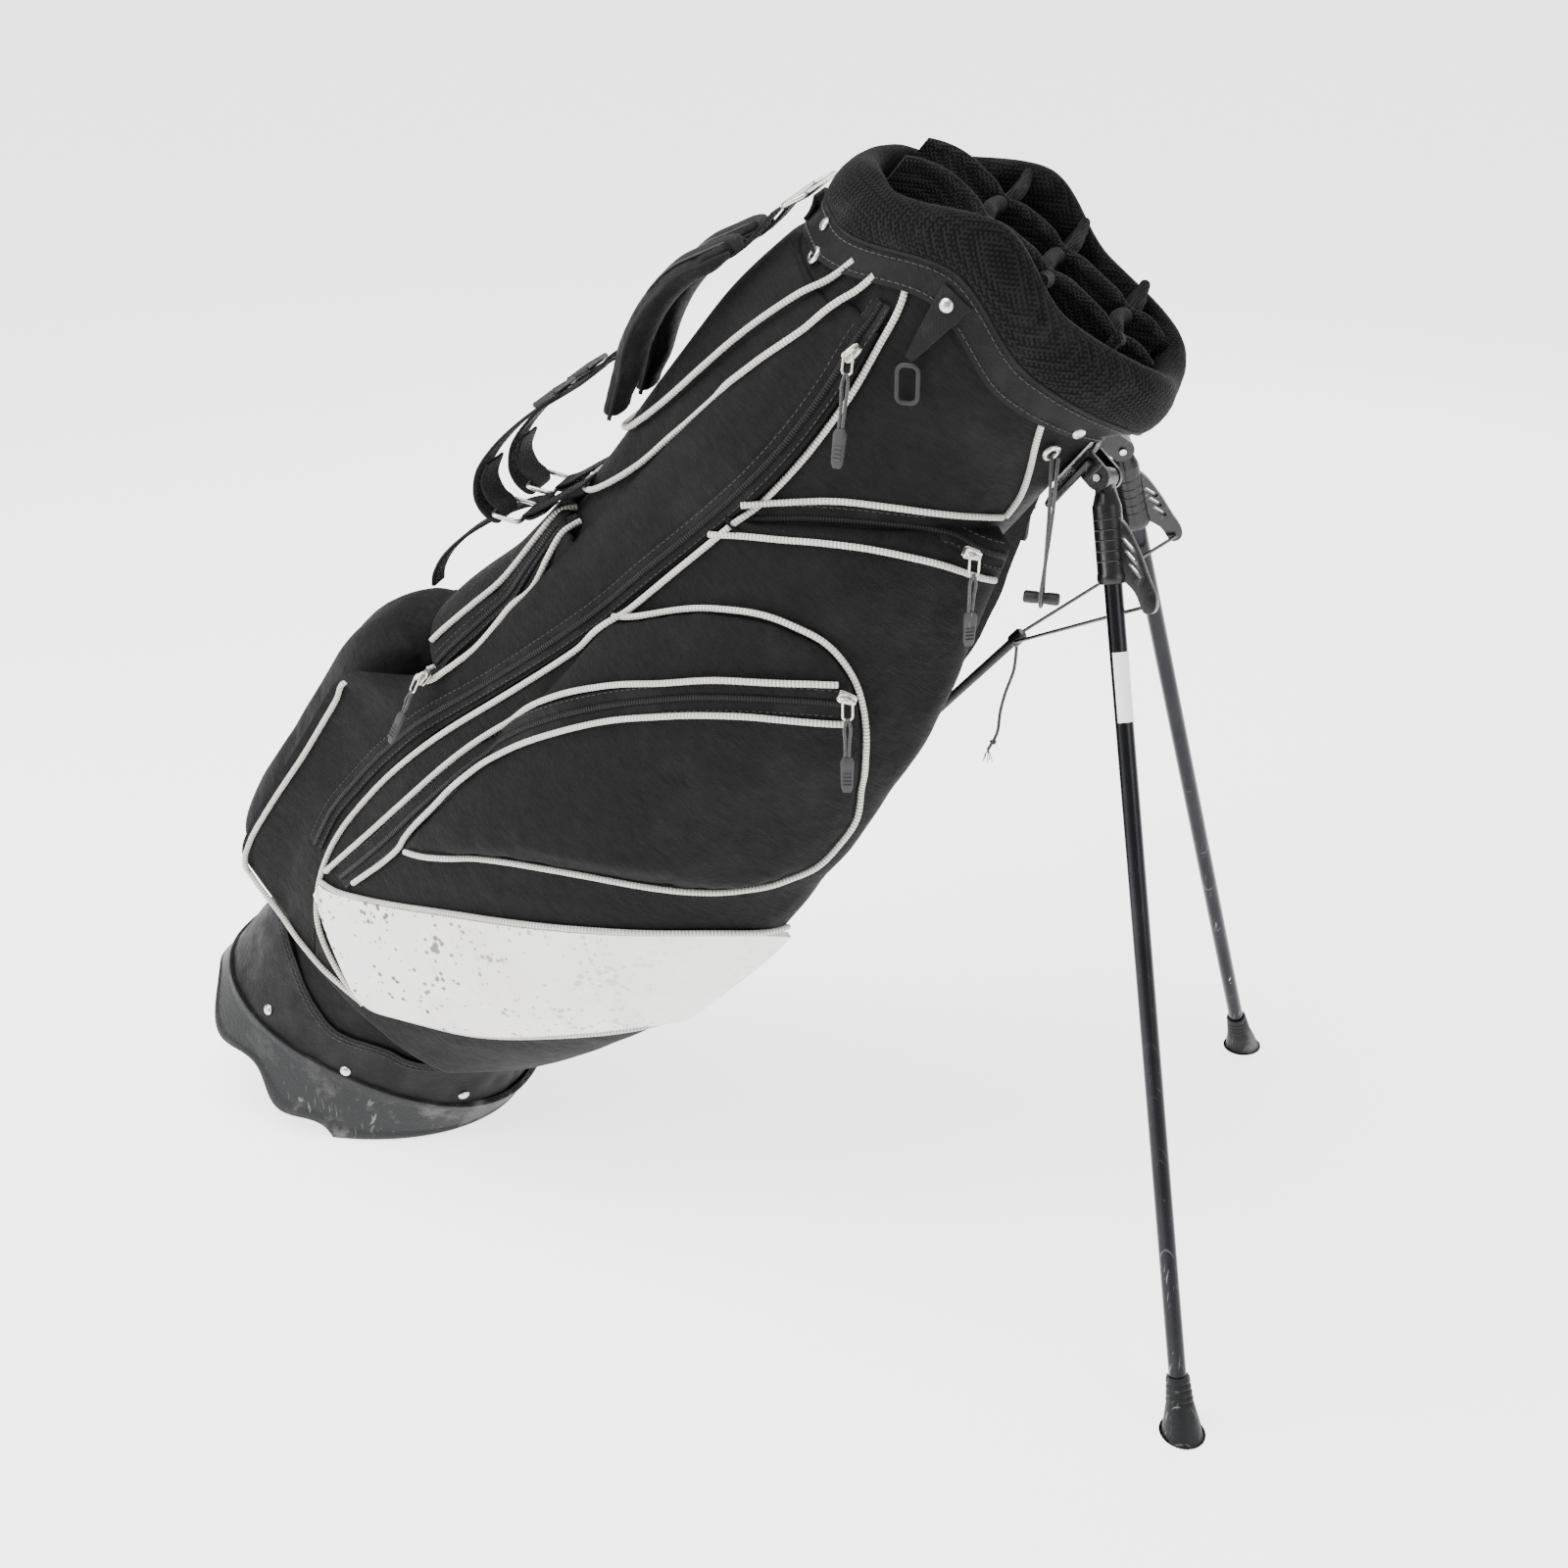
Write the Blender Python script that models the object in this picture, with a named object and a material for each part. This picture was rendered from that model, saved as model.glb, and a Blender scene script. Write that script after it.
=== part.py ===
"""Golf stand bag, leaning on its two open legs. Metres, +Z up, +X towards the legs, the near side at -Y.

The bag is drawn in its own axes: u runs up the bag from the middle of its base, w runs from the spine
(the strap side) to the belly (the leg side), and y runs across. An angle phi goes round the bag:
0 is the spine, 90 the near side, 180 the belly and 270 the far side.
"""
import math
import bmesh
import bpy
import numpy as np
from mathutils import Matrix, Vector

# Driving dimensions
LEAN = math.radians(38.0)
CHAMFER_START = 0.046
BASE_BACK = 0.3239
GAP = 0.0003
SKIN_GAP = 0.0010
SOFT_GAP = 0.0022
ROUND = np.arange(32) * 11.25
FABRIC = 0.003
BAND_DEPTH = 0.026
CUFF_HEIGHT = 0.040
CUFF_OUT = 0.008
CUFF_IN = 0.013
FRAME_DEPTH = 0.045
DIVIDER_THICK = 0.007
CROSS_W = (-0.046, 0.006, 0.066)
LONG_Y = (-0.032, 0.032)
PIVOT = (0.859, 0.126, 0.039)
FOOT_CENTRE = (0.446, 0.614, 0.249)
TUBE_R = 0.00635
SLEEVE_R = 0.0100
ARM_ALONG = 0.088
ARM_OUT = 0.026
WIRE_R = 0.0013
APEX = (0.712, 0.166)
ROD_END = (0.180, 0.1376)
ROD_R = 0.0035
POCKET_WALL_PHI = 150.0

SIN, COS = math.sin(LEAN), math.cos(LEAN)
UP_BAG = Vector((SIN, 0, COS))
TO_BELLY = Vector((COS, 0, -SIN))
ACROSS = Vector((0, 1, 0))
BASE = Vector((-BASE_BACK, 0, CHAMFER_START * SIN))

for old in list(bpy.data.objects):
    bpy.data.objects.remove(old, do_unlink=True)


def at(u, w, y):
    """World point of a place on the bag."""
    return BASE + UP_BAG * u + TO_BELLY * w + ACROSS * y


def along(u, w, y):
    """World direction of a direction on the bag."""
    return UP_BAG * u + TO_BELLY * w + ACROSS * y


def smooth(x, knots):
    """Value at x of a smooth curve through (place, value) knots, level beyond its ends."""
    if x <= knots[0][0]:
        return knots[0][1]
    for (x0, v0), (x1, v1) in zip(knots, knots[1:]):
        if x <= x1:
            t = (x - x0) / (x1 - x0)
            return v0 + (v1 - v0) * t * t * (3 - 2 * t)
    return knots[-1][1]


def straight(x, knots):
    """Value at x of straight runs between (place, value) knots."""
    return float(np.interp(x, [k[0] for k in knots], [k[1] for k in knots]))


def near_phi(phi):
    """The same angle measured on the near half, 0 to 180, so that both halves share one rule."""
    phi = phi % 360
    return 360 - phi if phi > 180 else phi


# Outline of the bag's tube at each height
SPINE_R = ((0.0, 0.140), (0.30, 0.138), (0.57, 0.142), (0.76, 0.145), (0.87, 0.133), (0.95, 0.130))
BELLY_R = ((0.07, 0.126), (0.15, 0.106), (0.87, 0.106), (0.905, 0.126))
SIDE_R = ((0.12, 0.106), (0.40, 0.110), (0.70, 0.104), (0.86, 0.098))
ROUNDNESS = 2.25


def body_r(u, phi):
    """Radius of the fabric tube's outer face."""
    c, s = math.cos(math.radians(phi)), math.sin(math.radians(phi))
    end = smooth(u, SPINE_R) if c > 0 else smooth(u, BELLY_R)
    side = smooth(u, SIDE_R)
    total = (abs(c) / end) ** ROUNDNESS + (abs(s) / side) ** ROUNDNESS
    return total ** (-1 / ROUNDNESS)


def polar(u, phi, r):
    """World point at a height, an angle and a distance from the bag's axis."""
    a = math.radians(phi)
    return at(u, -r * math.cos(a), -r * math.sin(a))


def cuff_edge(phi):
    """Height of the padded cuff's lower edge, which waves round the mouth."""
    return smooth(near_phi(phi), ((0, 0.868), (25, 0.874), (72, 0.915), (112, 0.897), (150, 0.900), (180, 0.892)))


def floor_u(w):
    """Height, up the bag, of the ground under a place."""
    return (w - CHAMFER_START) * math.tan(LEAN)


def cup_edge(phi):
    """Height of the rubber base cup's upper edge."""
    w = -0.135 * math.cos(math.radians(phi))
    return 0.016 + (w + 0.14) * 0.29


def band_edge(phi):
    """Height of the vinyl base band's upper edge."""
    p = near_phi(phi)
    return smooth(p, ((0, 0.120), (30, 0.112), (75, 0.090), (105, 0.112), (150, 0.150), (180, 0.150)))


# Materials and object helpers
def material(name, colour, rough=0.6, metal=0.0):
    """Plain finish of one piece."""
    made = bpy.data.materials.new(name)
    made.use_nodes = True
    shader = made.node_tree.nodes["Principled BSDF"]
    shader.inputs["Base Color"].default_value = (*colour, 1)
    shader.inputs["Roughness"].default_value = rough
    shader.inputs["Metallic"].default_value = metal
    return made


FINISHES = {
    "fabric": ((0.018, 0.018, 0.020), 0.85, 0.0),
    "mesh": ((0.015, 0.015, 0.016), 0.95, 0.0),
    "vinyl_black": ((0.020, 0.020, 0.022), 0.45, 0.0),
    "vinyl_white": ((0.72, 0.72, 0.70), 0.45, 0.0),
    "rubber": ((0.045, 0.048, 0.050), 0.70, 0.0),
    "webbing": ((0.014, 0.014, 0.016), 0.90, 0.0),
    "plastic": ((0.020, 0.021, 0.023), 0.30, 0.0),
    "nickel": ((0.62, 0.60, 0.56), 0.28, 1.0),
    "leg_metal": ((0.030, 0.031, 0.034), 0.35, 0.9),
    "steel": ((0.25, 0.25, 0.26), 0.35, 1.0),
    "cord": ((0.016, 0.016, 0.017), 0.85, 0.0),
}


def keep(name, mesh, finish):
    """Object of a finished mesh, with a finish of its own and smooth round faces."""
    mesh.materials.append(material(name + "_finish", *FINISHES[finish]))
    mesh.shade_smooth()
    mesh.set_sharp_from_angle(angle=math.radians(40))
    made = bpy.data.objects.new(name, mesh)
    bpy.context.scene.collection.objects.link(made)
    return made


def finish_mesh(name, bm):
    """Mesh of a closed shape, with its faces made to point out."""
    bmesh.ops.recalc_face_normals(bm, faces=bm.faces)
    if bm.calc_volume(signed=True) < 0:
        bmesh.ops.reverse_faces(bm, faces=bm.faces)
    mesh = bpy.data.meshes.new(name)
    bm.to_mesh(mesh)
    bm.free()
    return mesh


def mesh_of(name, points, faces):
    """Closed mesh of points and faces, facing out."""
    bm = bmesh.new()
    verts = [bm.verts.new(p) for p in points]
    for face in faces:
        bm.faces.new([verts[i] for i in face])
    return finish_mesh(name, bm)


def rolled(name, rings, finish, loop=False):
    """Solid through rings of points: its ends are capped, or it joins up with itself where it loops."""
    count = len(rings[0])
    points = [p for ring in rings for p in ring]
    faces = []
    steps = len(rings) if loop else len(rings) - 1
    for i in range(steps):
        low, high = i * count, ((i + 1) % len(rings)) * count
        for j in range(count):
            k = (j + 1) % count
            faces.append((low + j, low + k, high + k, high + j))
    if not loop:
        faces.append(tuple(range(count)))
        faces.append(tuple(len(points) - count + j for j in range(count)))
    return keep(name, mesh_of(name, points, faces), finish)


def collar_ring(name, section, finish):
    """Ring round the bag: section(phi) gives the corners (u, r) of its cut face at each angle."""
    rings = [[polar(u, phi, r) for u, r in section(phi)] for phi in ROUND]
    return rolled(name, rings, finish, loop=True)


def patch(name, place, inner, outer, finish, wide=12, tall=10):
    """Soft slab on the bag: place(t, s) gives (u, phi) over the unit square, between two radii."""
    points, faces = [], []
    shares = [(j / (wide - 1), i / (tall - 1)) for j in range(wide) for i in range(tall)]
    for face_r in (inner, outer):
        for t, s in shares:
            u, phi = place(t, s)
            points.append(polar(u, phi, face_r(u, phi, t, s)))
    half = wide * tall
    for j in range(wide - 1):
        for i in range(tall - 1):
            a, b = j * tall + i, (j + 1) * tall + i
            faces.append((a, b, b + 1, a + 1))
            faces.append((half + a, half + a + 1, half + b + 1, half + b))
    for j in range(wide - 1):
        for i in (0, tall - 1):
            a, b = j * tall + i, (j + 1) * tall + i
            faces.append((a, b, half + b, half + a))
    for j in (0, wide - 1):
        for i in range(tall - 1):
            a = j * tall + i
            faces.append((a, a + 1, half + a + 1, half + a))
    return keep(name, mesh_of(name, points, faces), finish)


def catmull(points, per_span):
    """Points of a smooth curve through the given ones."""
    p = [Vector(q) for q in points]
    p = [p[0] * 2 - p[1]] + p + [p[-1] * 2 - p[-2]]
    out = []
    for a, b, c, d in zip(p, p[1:], p[2:], p[3:]):
        for i in range(per_span):
            t = i / per_span
            out.append(0.5 * ((2 * b) + (c - a) * t + (2 * a - 5 * b + 4 * c - d) * t * t
                              + (3 * b - a - 3 * c + d) * t ** 3))
    out.append(p[-2])
    return out


def strap(name, route, width, thick, finish, across=(0, 0, 1), per_span=3):
    """Flat band of webbing or padding along a route of bag places."""
    path = catmull([at(*q) for q in route], per_span)
    side = along(*across).normalized()
    rings = []
    for i, p in enumerate(path):
        tangent = (path[min(i + 1, len(path) - 1)] - path[max(i - 1, 0)]).normalized()
        wide = (side - tangent * side.dot(tangent)).normalized()
        normal = tangent.cross(wide)
        h, t = width / 2, thick / 2
        bevel = t * 0.6
        corners = ((-h, -t + bevel), (-h + bevel, -t), (h - bevel, -t), (h, -t + bevel),
                   (h, t - bevel), (h - bevel, t), (-h + bevel, t), (-h, t - bevel))
        rings.append([p + wide * x + normal * z for x, z in corners])
    return rolled(name, rings, finish)


def wire_ring(name, centre, long_axis, short_axis, half_long, half_short, wire_r, finish, corner=0.45):
    """Closed ring of round wire, a rounded rectangle lying in two given directions."""
    e, f = long_axis.normalized(), short_axis.normalized()
    normal = e.cross(f).normalized()
    rings = []
    count = 20
    power = 2 / (2 + 6 * (1 - corner))
    for i in range(count):
        a = 2 * math.pi * i / count
        c, s = math.cos(a), math.sin(a)
        x = half_long * math.copysign(abs(c) ** power, c)
        z = half_short * math.copysign(abs(s) ** power, s)
        out = (e * x + f * z).normalized()
        p = centre + e * x + f * z
        rings.append([p + out * wire_r * math.cos(b) + normal * wire_r * math.sin(b)
                      for b in np.arange(6) * math.pi / 3])
    return rolled(name, rings, finish, loop=True)


def turned(name, start, axis, profile, finish, sides=20):
    """Round piece: its profile of (distance along the axis, radius) runs from one end face to the other."""
    axis = axis.normalized()
    side = axis.orthogonal().normalized()
    other = axis.cross(side)
    angles = [2 * math.pi * i / sides for i in range(sides)]
    rings = [[start + axis * d + (side * math.cos(a) + other * math.sin(a)) * r for a in angles]
             for d, r in profile]
    return rolled(name, rings, finish)


def cord(name, route, radius, finish="cord", per_span=3):
    """Round cord along a smooth route of world points, with filled ends."""
    curve = bpy.data.curves.new(name, "CURVE")
    curve.dimensions = "3D"
    curve.bevel_depth = radius
    curve.bevel_resolution = 2
    curve.use_fill_caps = True
    path = catmull(route, per_span)
    line = curve.splines.new("POLY")
    line.points.add(len(path) - 1)
    for point, place in zip(line.points, path):
        point.co = (*place, 1)
    curve.materials.append(material(name + "_finish", *FINISHES[finish]))
    made = bpy.data.objects.new(name, curve)
    bpy.context.scene.collection.objects.link(made)
    return made


def prism(name, outline, origin, e, f, thick, finish):
    """Plate: an outline in two directions, with its thickness centred on the plane."""
    normal = e.cross(f).normalized() * (thick / 2)
    low = [origin + e * x + f * z - normal for x, z in outline]
    high = [origin + e * x + f * z + normal for x, z in outline]
    return rolled(name, [low, high], finish)


def block(name, centre, e, f, g, size, finish, bevel=0.0):
    """Box with rounded edges, along three directions."""
    bm = bmesh.new()
    bmesh.ops.create_cube(bm, size=1.0)
    turn = Matrix((e.normalized(), f.normalized(), g.normalized())).transposed()
    for v in bm.verts:
        v.co = turn @ Vector((v.co.x * size[0], v.co.y * size[1], v.co.z * size[2])) + centre
    if bevel:
        bmesh.ops.bevel(bm, geom=bm.edges, offset=bevel, segments=1, affect="EDGES", profile=0.5)
    return keep(name, finish_mesh(name, bm), finish)


def combine(target, tool, operation):
    """Boolean of two objects: the tool is used up."""
    step = target.modifiers.new(operation.lower(), "BOOLEAN")
    step.operation = operation
    step.solver = "EXACT"
    step.object = tool
    bpy.context.view_layer.update()
    evaluated = target.evaluated_get(bpy.context.evaluated_depsgraph_get())
    fresh = bpy.data.meshes.new_from_object(evaluated)
    target.modifiers.remove(step)
    old = target.data
    target.data = fresh
    bpy.data.meshes.remove(old)
    bpy.data.objects.remove(tool, do_unlink=True)
    return target


# Base: a rubber cup whose chamfered belly side lies flat on the ground, and a vinyl band above it
def cup_bottom(w, phi, rim):
    """Height of the cup's underside; the rim of its level part has wavy feet."""
    wave = 0.006 * math.cos(math.radians(phi) * 9) * rim
    return max(-0.012 - wave, floor_u(w))


def shell_bottom(w):
    """Height of the fabric tube's lower edge and of the cup's floor."""
    return max(0.0, floor_u(w) + 0.009)


def base_cup():
    """Cup with a floor: its rings run out over the underside, up the wall and in over the floor."""
    wall = 0.0045
    rings = []
    for share in (0.35, 0.75, 1.0):
        ring = []
        for phi in ROUND:
            r = (body_r(0.0, phi) + GAP + wall) * share
            w = -r * math.cos(math.radians(phi))
            ring.append(polar(cup_bottom(w, phi, 1.0 if share == 1.0 else 0.0), phi, r))
        rings.append(ring)
    rings.append([polar(cup_edge(phi), phi, body_r(0.0, phi) + GAP + wall) for phi in ROUND])
    rings.append([polar(cup_edge(phi), phi, body_r(0.0, phi) + GAP) for phi in ROUND])
    for share in (1.0, 0.75, 0.35):
        ring = []
        for phi in ROUND:
            r = (body_r(0.0, phi) + GAP) * share
            ring.append(polar(shell_bottom(-r * math.cos(math.radians(phi))) - GAP, phi, r))
        rings.append(ring)
    return rolled("base_cup", rings, "rubber")


def shell_heights(phi):
    """Heights at which every wall round the tube is drawn, so that the walls lie on each other."""
    low = shell_bottom(-body_r(0.0, phi) * math.cos(math.radians(phi)))
    base = np.linspace(cup_edge(phi) + GAP, band_edge(phi), 4)
    middle = np.linspace(0.20, 0.80, 6)
    top = np.linspace(cuff_edge(phi) - BAND_DEPTH, cuff_edge(phi) - GAP * 2, 3)
    return [low, *base, *middle, cuff_edge(phi) - FRAME_DEPTH, *top]


def wall_section(first, last, inner, outer):
    """Corners of a thin wall that follows the tube between two of its heights."""
    def section(phi):
        heights = shell_heights(phi)[first:last]
        up = [(u, body_r(u, phi) + inner) for u in heights]
        return up + [(u, body_r(u, phi) + outer) for u in heights[::-1]]
    return section


base_cup()
collar_ring("base_band", wall_section(1, 5, SKIN_GAP, 0.0036), "vinyl_black")

# Fabric tube, open at the top, with its stays and the frame of the mouth
collar_ring("bag_shell", wall_section(0, None, -FABRIC, 0.0), "fabric")
STAY_R = 0.004
STAY_TOP = 0.80
for stay, y in (("stay_near", -0.090), ("stay_far", 0.090)):
    turned(stay, at(0.002, 0, y), UP_BAG, [(0.0, STAY_R), (STAY_TOP, STAY_R)], "plastic", sides=10)

collar_ring("collar_band", wall_section(-3, None, SKIN_GAP * 1.5, 0.0036), "vinyl_black")
collar_ring("mouth_frame", wall_section(-4, None, -FABRIC - 0.0040, -FABRIC - SKIN_GAP * 1.5), "plastic")


def cuff_section(phi):
    """Round padded section of the cuff, standing on the tube's edge and rolling in over the mouth."""
    edge = cuff_edge(phi)
    r = body_r(edge, phi)
    return [(edge, r - 0.009), (edge, r + CUFF_OUT * 0.6), (edge + 0.006, r + CUFF_OUT),
            (edge + CUFF_HEIGHT * 0.6, r + CUFF_OUT), (edge + CUFF_HEIGHT * 0.9, r + CUFF_OUT * 0.4),
            (edge + CUFF_HEIGHT, r - 0.003), (edge + CUFF_HEIGHT * 0.9, r - CUFF_IN * 0.8),
            (edge + CUFF_HEIGHT * 0.6, r - CUFF_IN), (edge + 0.006, r - CUFF_IN)]


collar_ring("collar_cuff", cuff_section, "mesh")

# Dividers of the mouth: three across and two along, halved over each other to make twelve wells
DIVIDER_LOW = 0.815
DIVIDER_TOP = 0.925
HALVING = 0.870
SLOT = DIVIDER_THICK / 2 + 0.0004


def mouth_reach(w):
    """Half width of the clear mouth at a place along it."""
    clear = CUFF_IN + 0.0015
    end = SPINE_R[-1][1] - clear if w < 0 else BELLY_R[1][1] - 0.0085
    side = SIDE_R[-1][1] - clear
    return side * (1 - min(1.0, abs(w / end)) ** ROUNDNESS) ** (1 / ROUNDNESS)


for number, w in enumerate(CROSS_W, 1):
    reach = mouth_reach(w)
    outline = [(-reach, DIVIDER_LOW)]
    for y in LONG_Y:
        outline += [(y - SLOT, DIVIDER_LOW), (y - SLOT, HALVING + 0.0004), (y + SLOT, HALVING + 0.0004),
                    (y + SLOT, DIVIDER_LOW)]
    outline += [(reach, DIVIDER_LOW)]
    outline += [(y, DIVIDER_TOP - 0.006 * (y / reach) ** 2) for y in np.linspace(reach, -reach, 9)]
    prism(f"cross_divider_{number}", outline, at(0, w, 0), ACROSS, UP_BAG, DIVIDER_THICK, "mesh")

for name, y in zip(("long_divider_near", "long_divider_far"), LONG_Y):
    spine_end = -0.100
    belly_low, belly_end = 0.088, 0.099
    outline = [(spine_end, DIVIDER_LOW), (belly_low, DIVIDER_LOW), (belly_low, 0.882), (belly_end, 0.906),
               (belly_end, DIVIDER_TOP - 0.012)]
    for w in reversed(CROSS_W):
        outline += [(w + SLOT, DIVIDER_TOP - 0.006), (w + SLOT, HALVING), (w - SLOT, HALVING),
                    (w - SLOT, DIVIDER_TOP - 0.006)]
    outline += [(spine_end, DIVIDER_TOP - 0.014)]
    prism(name, outline, at(0, 0, y), TO_BELLY, UP_BAG, DIVIDER_THICK, "mesh")

# Pockets. The main seam parts the long garment pocket from the side pocket; both halves are alike
MAIN_SEAM = ((0.12, 62), (0.16, 46), (0.20, 38), (0.27, 36), (0.36, 40), (0.465, 51), (0.56, 60), (0.63, 63),
             (0.70, 69), (0.78, 70), (0.86, 62), (0.89, 56))
GARMENT_BACK = ((0.12, 20.5), (0.385, 20.5), (0.402, 34.5), (0.60, 34.5), (0.74, 39), (0.86, 48))
GARMENT_ROWS = (0.128, 0.17, 0.22, 0.28, 0.33, 0.385, 0.402, 0.46, 0.52, 0.58, 0.64, 0.70, 0.76, 0.81, 0.85)
SEAM_BULGE = ((0.10, 0.004), (0.22, 0.026), (0.38, 0.024), (0.55, 0.012), (0.72, 0.006), (0.86, 0.004))
SIDE_BULGE = ((0.125, 0.016), (0.24, 0.064), (0.33, 0.092), (0.45, 0.104), (0.58, 0.092), (0.66, 0.078),
              (0.72, 0.046), (0.79, 0.018))
SIDE_TOP = ((60, 0.690), (90, 0.735), (120, 0.770), (150, 0.790))
D_TOP = ((60, 0.565), (77, 0.622), (96, 0.661), (114, 0.677), (128, 0.663), (138, 0.615), (142, 0.565))
D_LOW = ((60, 0.300), (83, 0.367), (104, 0.420), (126, 0.468), (138, 0.503), (142, 0.545))
PANEL_TOP = ((44, 0.197), (68, 0.256), (93, 0.324), (116, 0.392), (135, 0.445), (149, 0.465))
PANEL_LOW = ((44, 0.188), (81, 0.142), (117, 0.217), (139, 0.302), (149, 0.335))
BALL_BULGE = ((0.065, 0.040), (0.13, 0.062), (0.26, 0.069), (0.35, 0.077), (0.40, 0.066))
BACK_BULGE = ((0.12, 0.020), (0.22, 0.048), (0.38, 0.046), (0.43, 0.022), (0.60, 0.012), (0.86, 0.004))
SPINE_BULGE = ((0.41, 0.036), (0.45, 0.026), (0.50, 0.012), (0.57, 0.006))
BALL_PHI = 19.0
SPINE_PHI = 33.0


def edge_round(share, power=4.0):
    """Roll-off of a soft slab towards its two ends: 1 in the middle, 0 at share 0 and 1."""
    return (1 - abs(2 * share - 1) ** power) ** (1 / power)


def side_share(u, phi):
    """Share of the way from the main seam to the side pocket's belly wall."""
    seam = straight(u, MAIN_SEAM)
    return min(1.0, max(0.0, (phi - seam) / (POCKET_WALL_PHI - seam)))


def side_face(u, phi):
    """Outer face of the side pocket: low at the main seam, deepest at its belly corner."""
    share = side_share(u, phi)
    depth = straight(u, SEAM_BULGE) * (1 - share) + straight(u, SIDE_BULGE) * share ** 1.5
    return body_r(u, phi) + 0.004 + depth


def on_body(u, phi, t, s):
    """Inner face of a pocket that lies on the tube."""
    return body_r(u, phi) + SOFT_GAP


def both_sides(name, place, inner, outer, finish, wide=12, tall=10):
    """A pocket on the near side and its mirror image on the far side."""
    patch(name + "_near", place, inner, outer, finish, wide, tall)

    def far_place(t, s):
        u, phi = place(t, s)
        return u, 360 - phi

    patch(name + "_far", far_place, lambda u, phi, t, s: inner(u, 360 - phi, t, s),
          lambda u, phi, t, s: outer(u, 360 - phi, t, s), finish, wide, tall)


def side_place(t, s):
    """Side pocket: from the main seam to its belly wall, from the base band up to its zip."""
    nominal = 58 + (POCKET_WALL_PHI - 58) * t
    low = max(band_edge(nominal), 0.125) + 0.002
    u = low + (straight(nominal, SIDE_TOP) - low) * s
    seam = straight(u, MAIN_SEAM) + 1.0
    return u, seam + (POCKET_WALL_PHI - seam) * t


def side_outer(u, phi, t, s):
    """Side pocket's face with its top and bottom rolled off."""
    r = body_r(u, phi) + 0.003
    return r + (side_face(u, phi) - r) * edge_round(s, 8.0)


both_sides("side_pocket", side_place, on_body, side_outer, "fabric", 11, 10)


def d_place(t, s):
    """D-shaped accessory pocket on the side pocket's face."""
    phi = 60 + 82 * t
    low, high = straight(phi, D_LOW), straight(phi, D_TOP)
    return low + (high - low) * s, phi


patch("d_pocket_near", d_place, lambda u, phi, t, s: side_face(u, phi) + 0.0025,
      lambda u, phi, t, s: side_face(u, phi) + 0.0045 + 0.008 * edge_round(s) * edge_round(t), "fabric", 10, 8)


def panel_place(t, s):
    """White vinyl panel round the foot of the side pocket."""
    phi = 44 + 105 * t
    low, high = straight(phi, PANEL_LOW), straight(phi, PANEL_TOP) - 0.003
    return low + (high - low) * s, phi


both_sides("base_panel", panel_place, lambda u, phi, t, s: side_face(u, phi) + 0.0032,
           lambda u, phi, t, s: side_face(u, phi) + 0.0048, "vinyl_white", 14, 4)


def garment_place(t, s):
    """Garment pocket: from beside the spine pockets to the main seam, nearly the bag's full length."""
    u = GARMENT_ROWS[round(s * (len(GARMENT_ROWS) - 1))]
    back, seam = straight(u, GARMENT_BACK), straight(u, MAIN_SEAM) - 1.0
    return u, back + (seam - back) * t


def garment_outer(u, phi, t, s):
    """Garment pocket's face: as deep as the main seam, and fuller towards the spine pockets."""
    depth = straight(u, SEAM_BULGE) * t + straight(u, BACK_BULGE) * (1 - t)
    return body_r(u, phi) + 0.003 + depth * edge_round(s, 10.0)


both_sides("garment_pocket", garment_place, on_body, garment_outer, "fabric", 5,
           len(GARMENT_ROWS))


def ball_place(t, s):
    """Ball pocket: low on the spine."""
    return 0.128 + (0.400 - 0.128) * s, BALL_PHI * (2 * t - 1)


patch("ball_pocket", ball_place, on_body,
      lambda u, phi, t, s: body_r(u, phi) + 0.004 + straight(u, BALL_BULGE) * edge_round(t) * edge_round(s, 9.0),
      "fabric", 9, 9)
patch("spine_pocket", lambda t, s: (0.408 + 0.167 * s, SPINE_PHI * (2 * t - 1)), on_body,
      lambda u, phi, t, s: body_r(u, phi) + 0.004 + straight(u, SPINE_BULGE) * edge_round(t) * edge_round(s, 9.0),
      "fabric", 9, 6)

# Carrying straps on the spine side: two arched pads, their webbing, adjusters and metal rings
STRAP_Y = 0.033
UPPER_RING = (0.8595, -0.1505)
LOWER_RING = (0.538, -0.174)

strap("upper_tab", [(0.846, -0.1396, 0), (0.852, -0.1398, 0), (0.858, -0.1412, 0), (0.8635, -0.1438, 0)],
      0.030, 0.0025, "webbing", per_span=2)
wire_ring("upper_ring", at(*UPPER_RING, 0), ACROSS, along(0.91, 0.41, 0), 0.040, 0.0095, 0.0020, "nickel")
for side, y in (("near", -STRAP_Y), ("far", STRAP_Y)):
    strap(f"shoulder_pad_{side}", [(0.808, -0.1620, y), (0.792, -0.1700, y), (0.768, -0.1810, y),
                                   (0.738, -0.1840, y), (0.708, -0.1790, y), (0.680, -0.1680, y),
                                   (0.655, -0.1580, y)], 0.056, 0.016, "fabric")
    strap(f"lower_web_{side}", [(0.690, -0.1845, y), (0.664, -0.1880, y), (0.634, -0.1980, y), (0.612, -0.2060, y),
                                (0.580, -0.2120, y), (0.550, -0.2120, y), (0.533, -0.2030, y),
                                (0.530, -0.1900, y)], 0.030, 0.0022, "webbing")
    block(f"triglide_{side}", at(0.6335, -0.2025, y), ACROSS, along(0.94, 0.34, 0), along(-0.34, 0.94, 0),
          (0.040, 0.020, 0.0040), "plastic", 0.0012)
    wire_ring(f"lower_ring_{side}", at(*LOWER_RING, y), ACROSS, along(0.45, 0.89, 0), 0.0195, 0.0105, 0.0018,
              "nickel")
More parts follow.
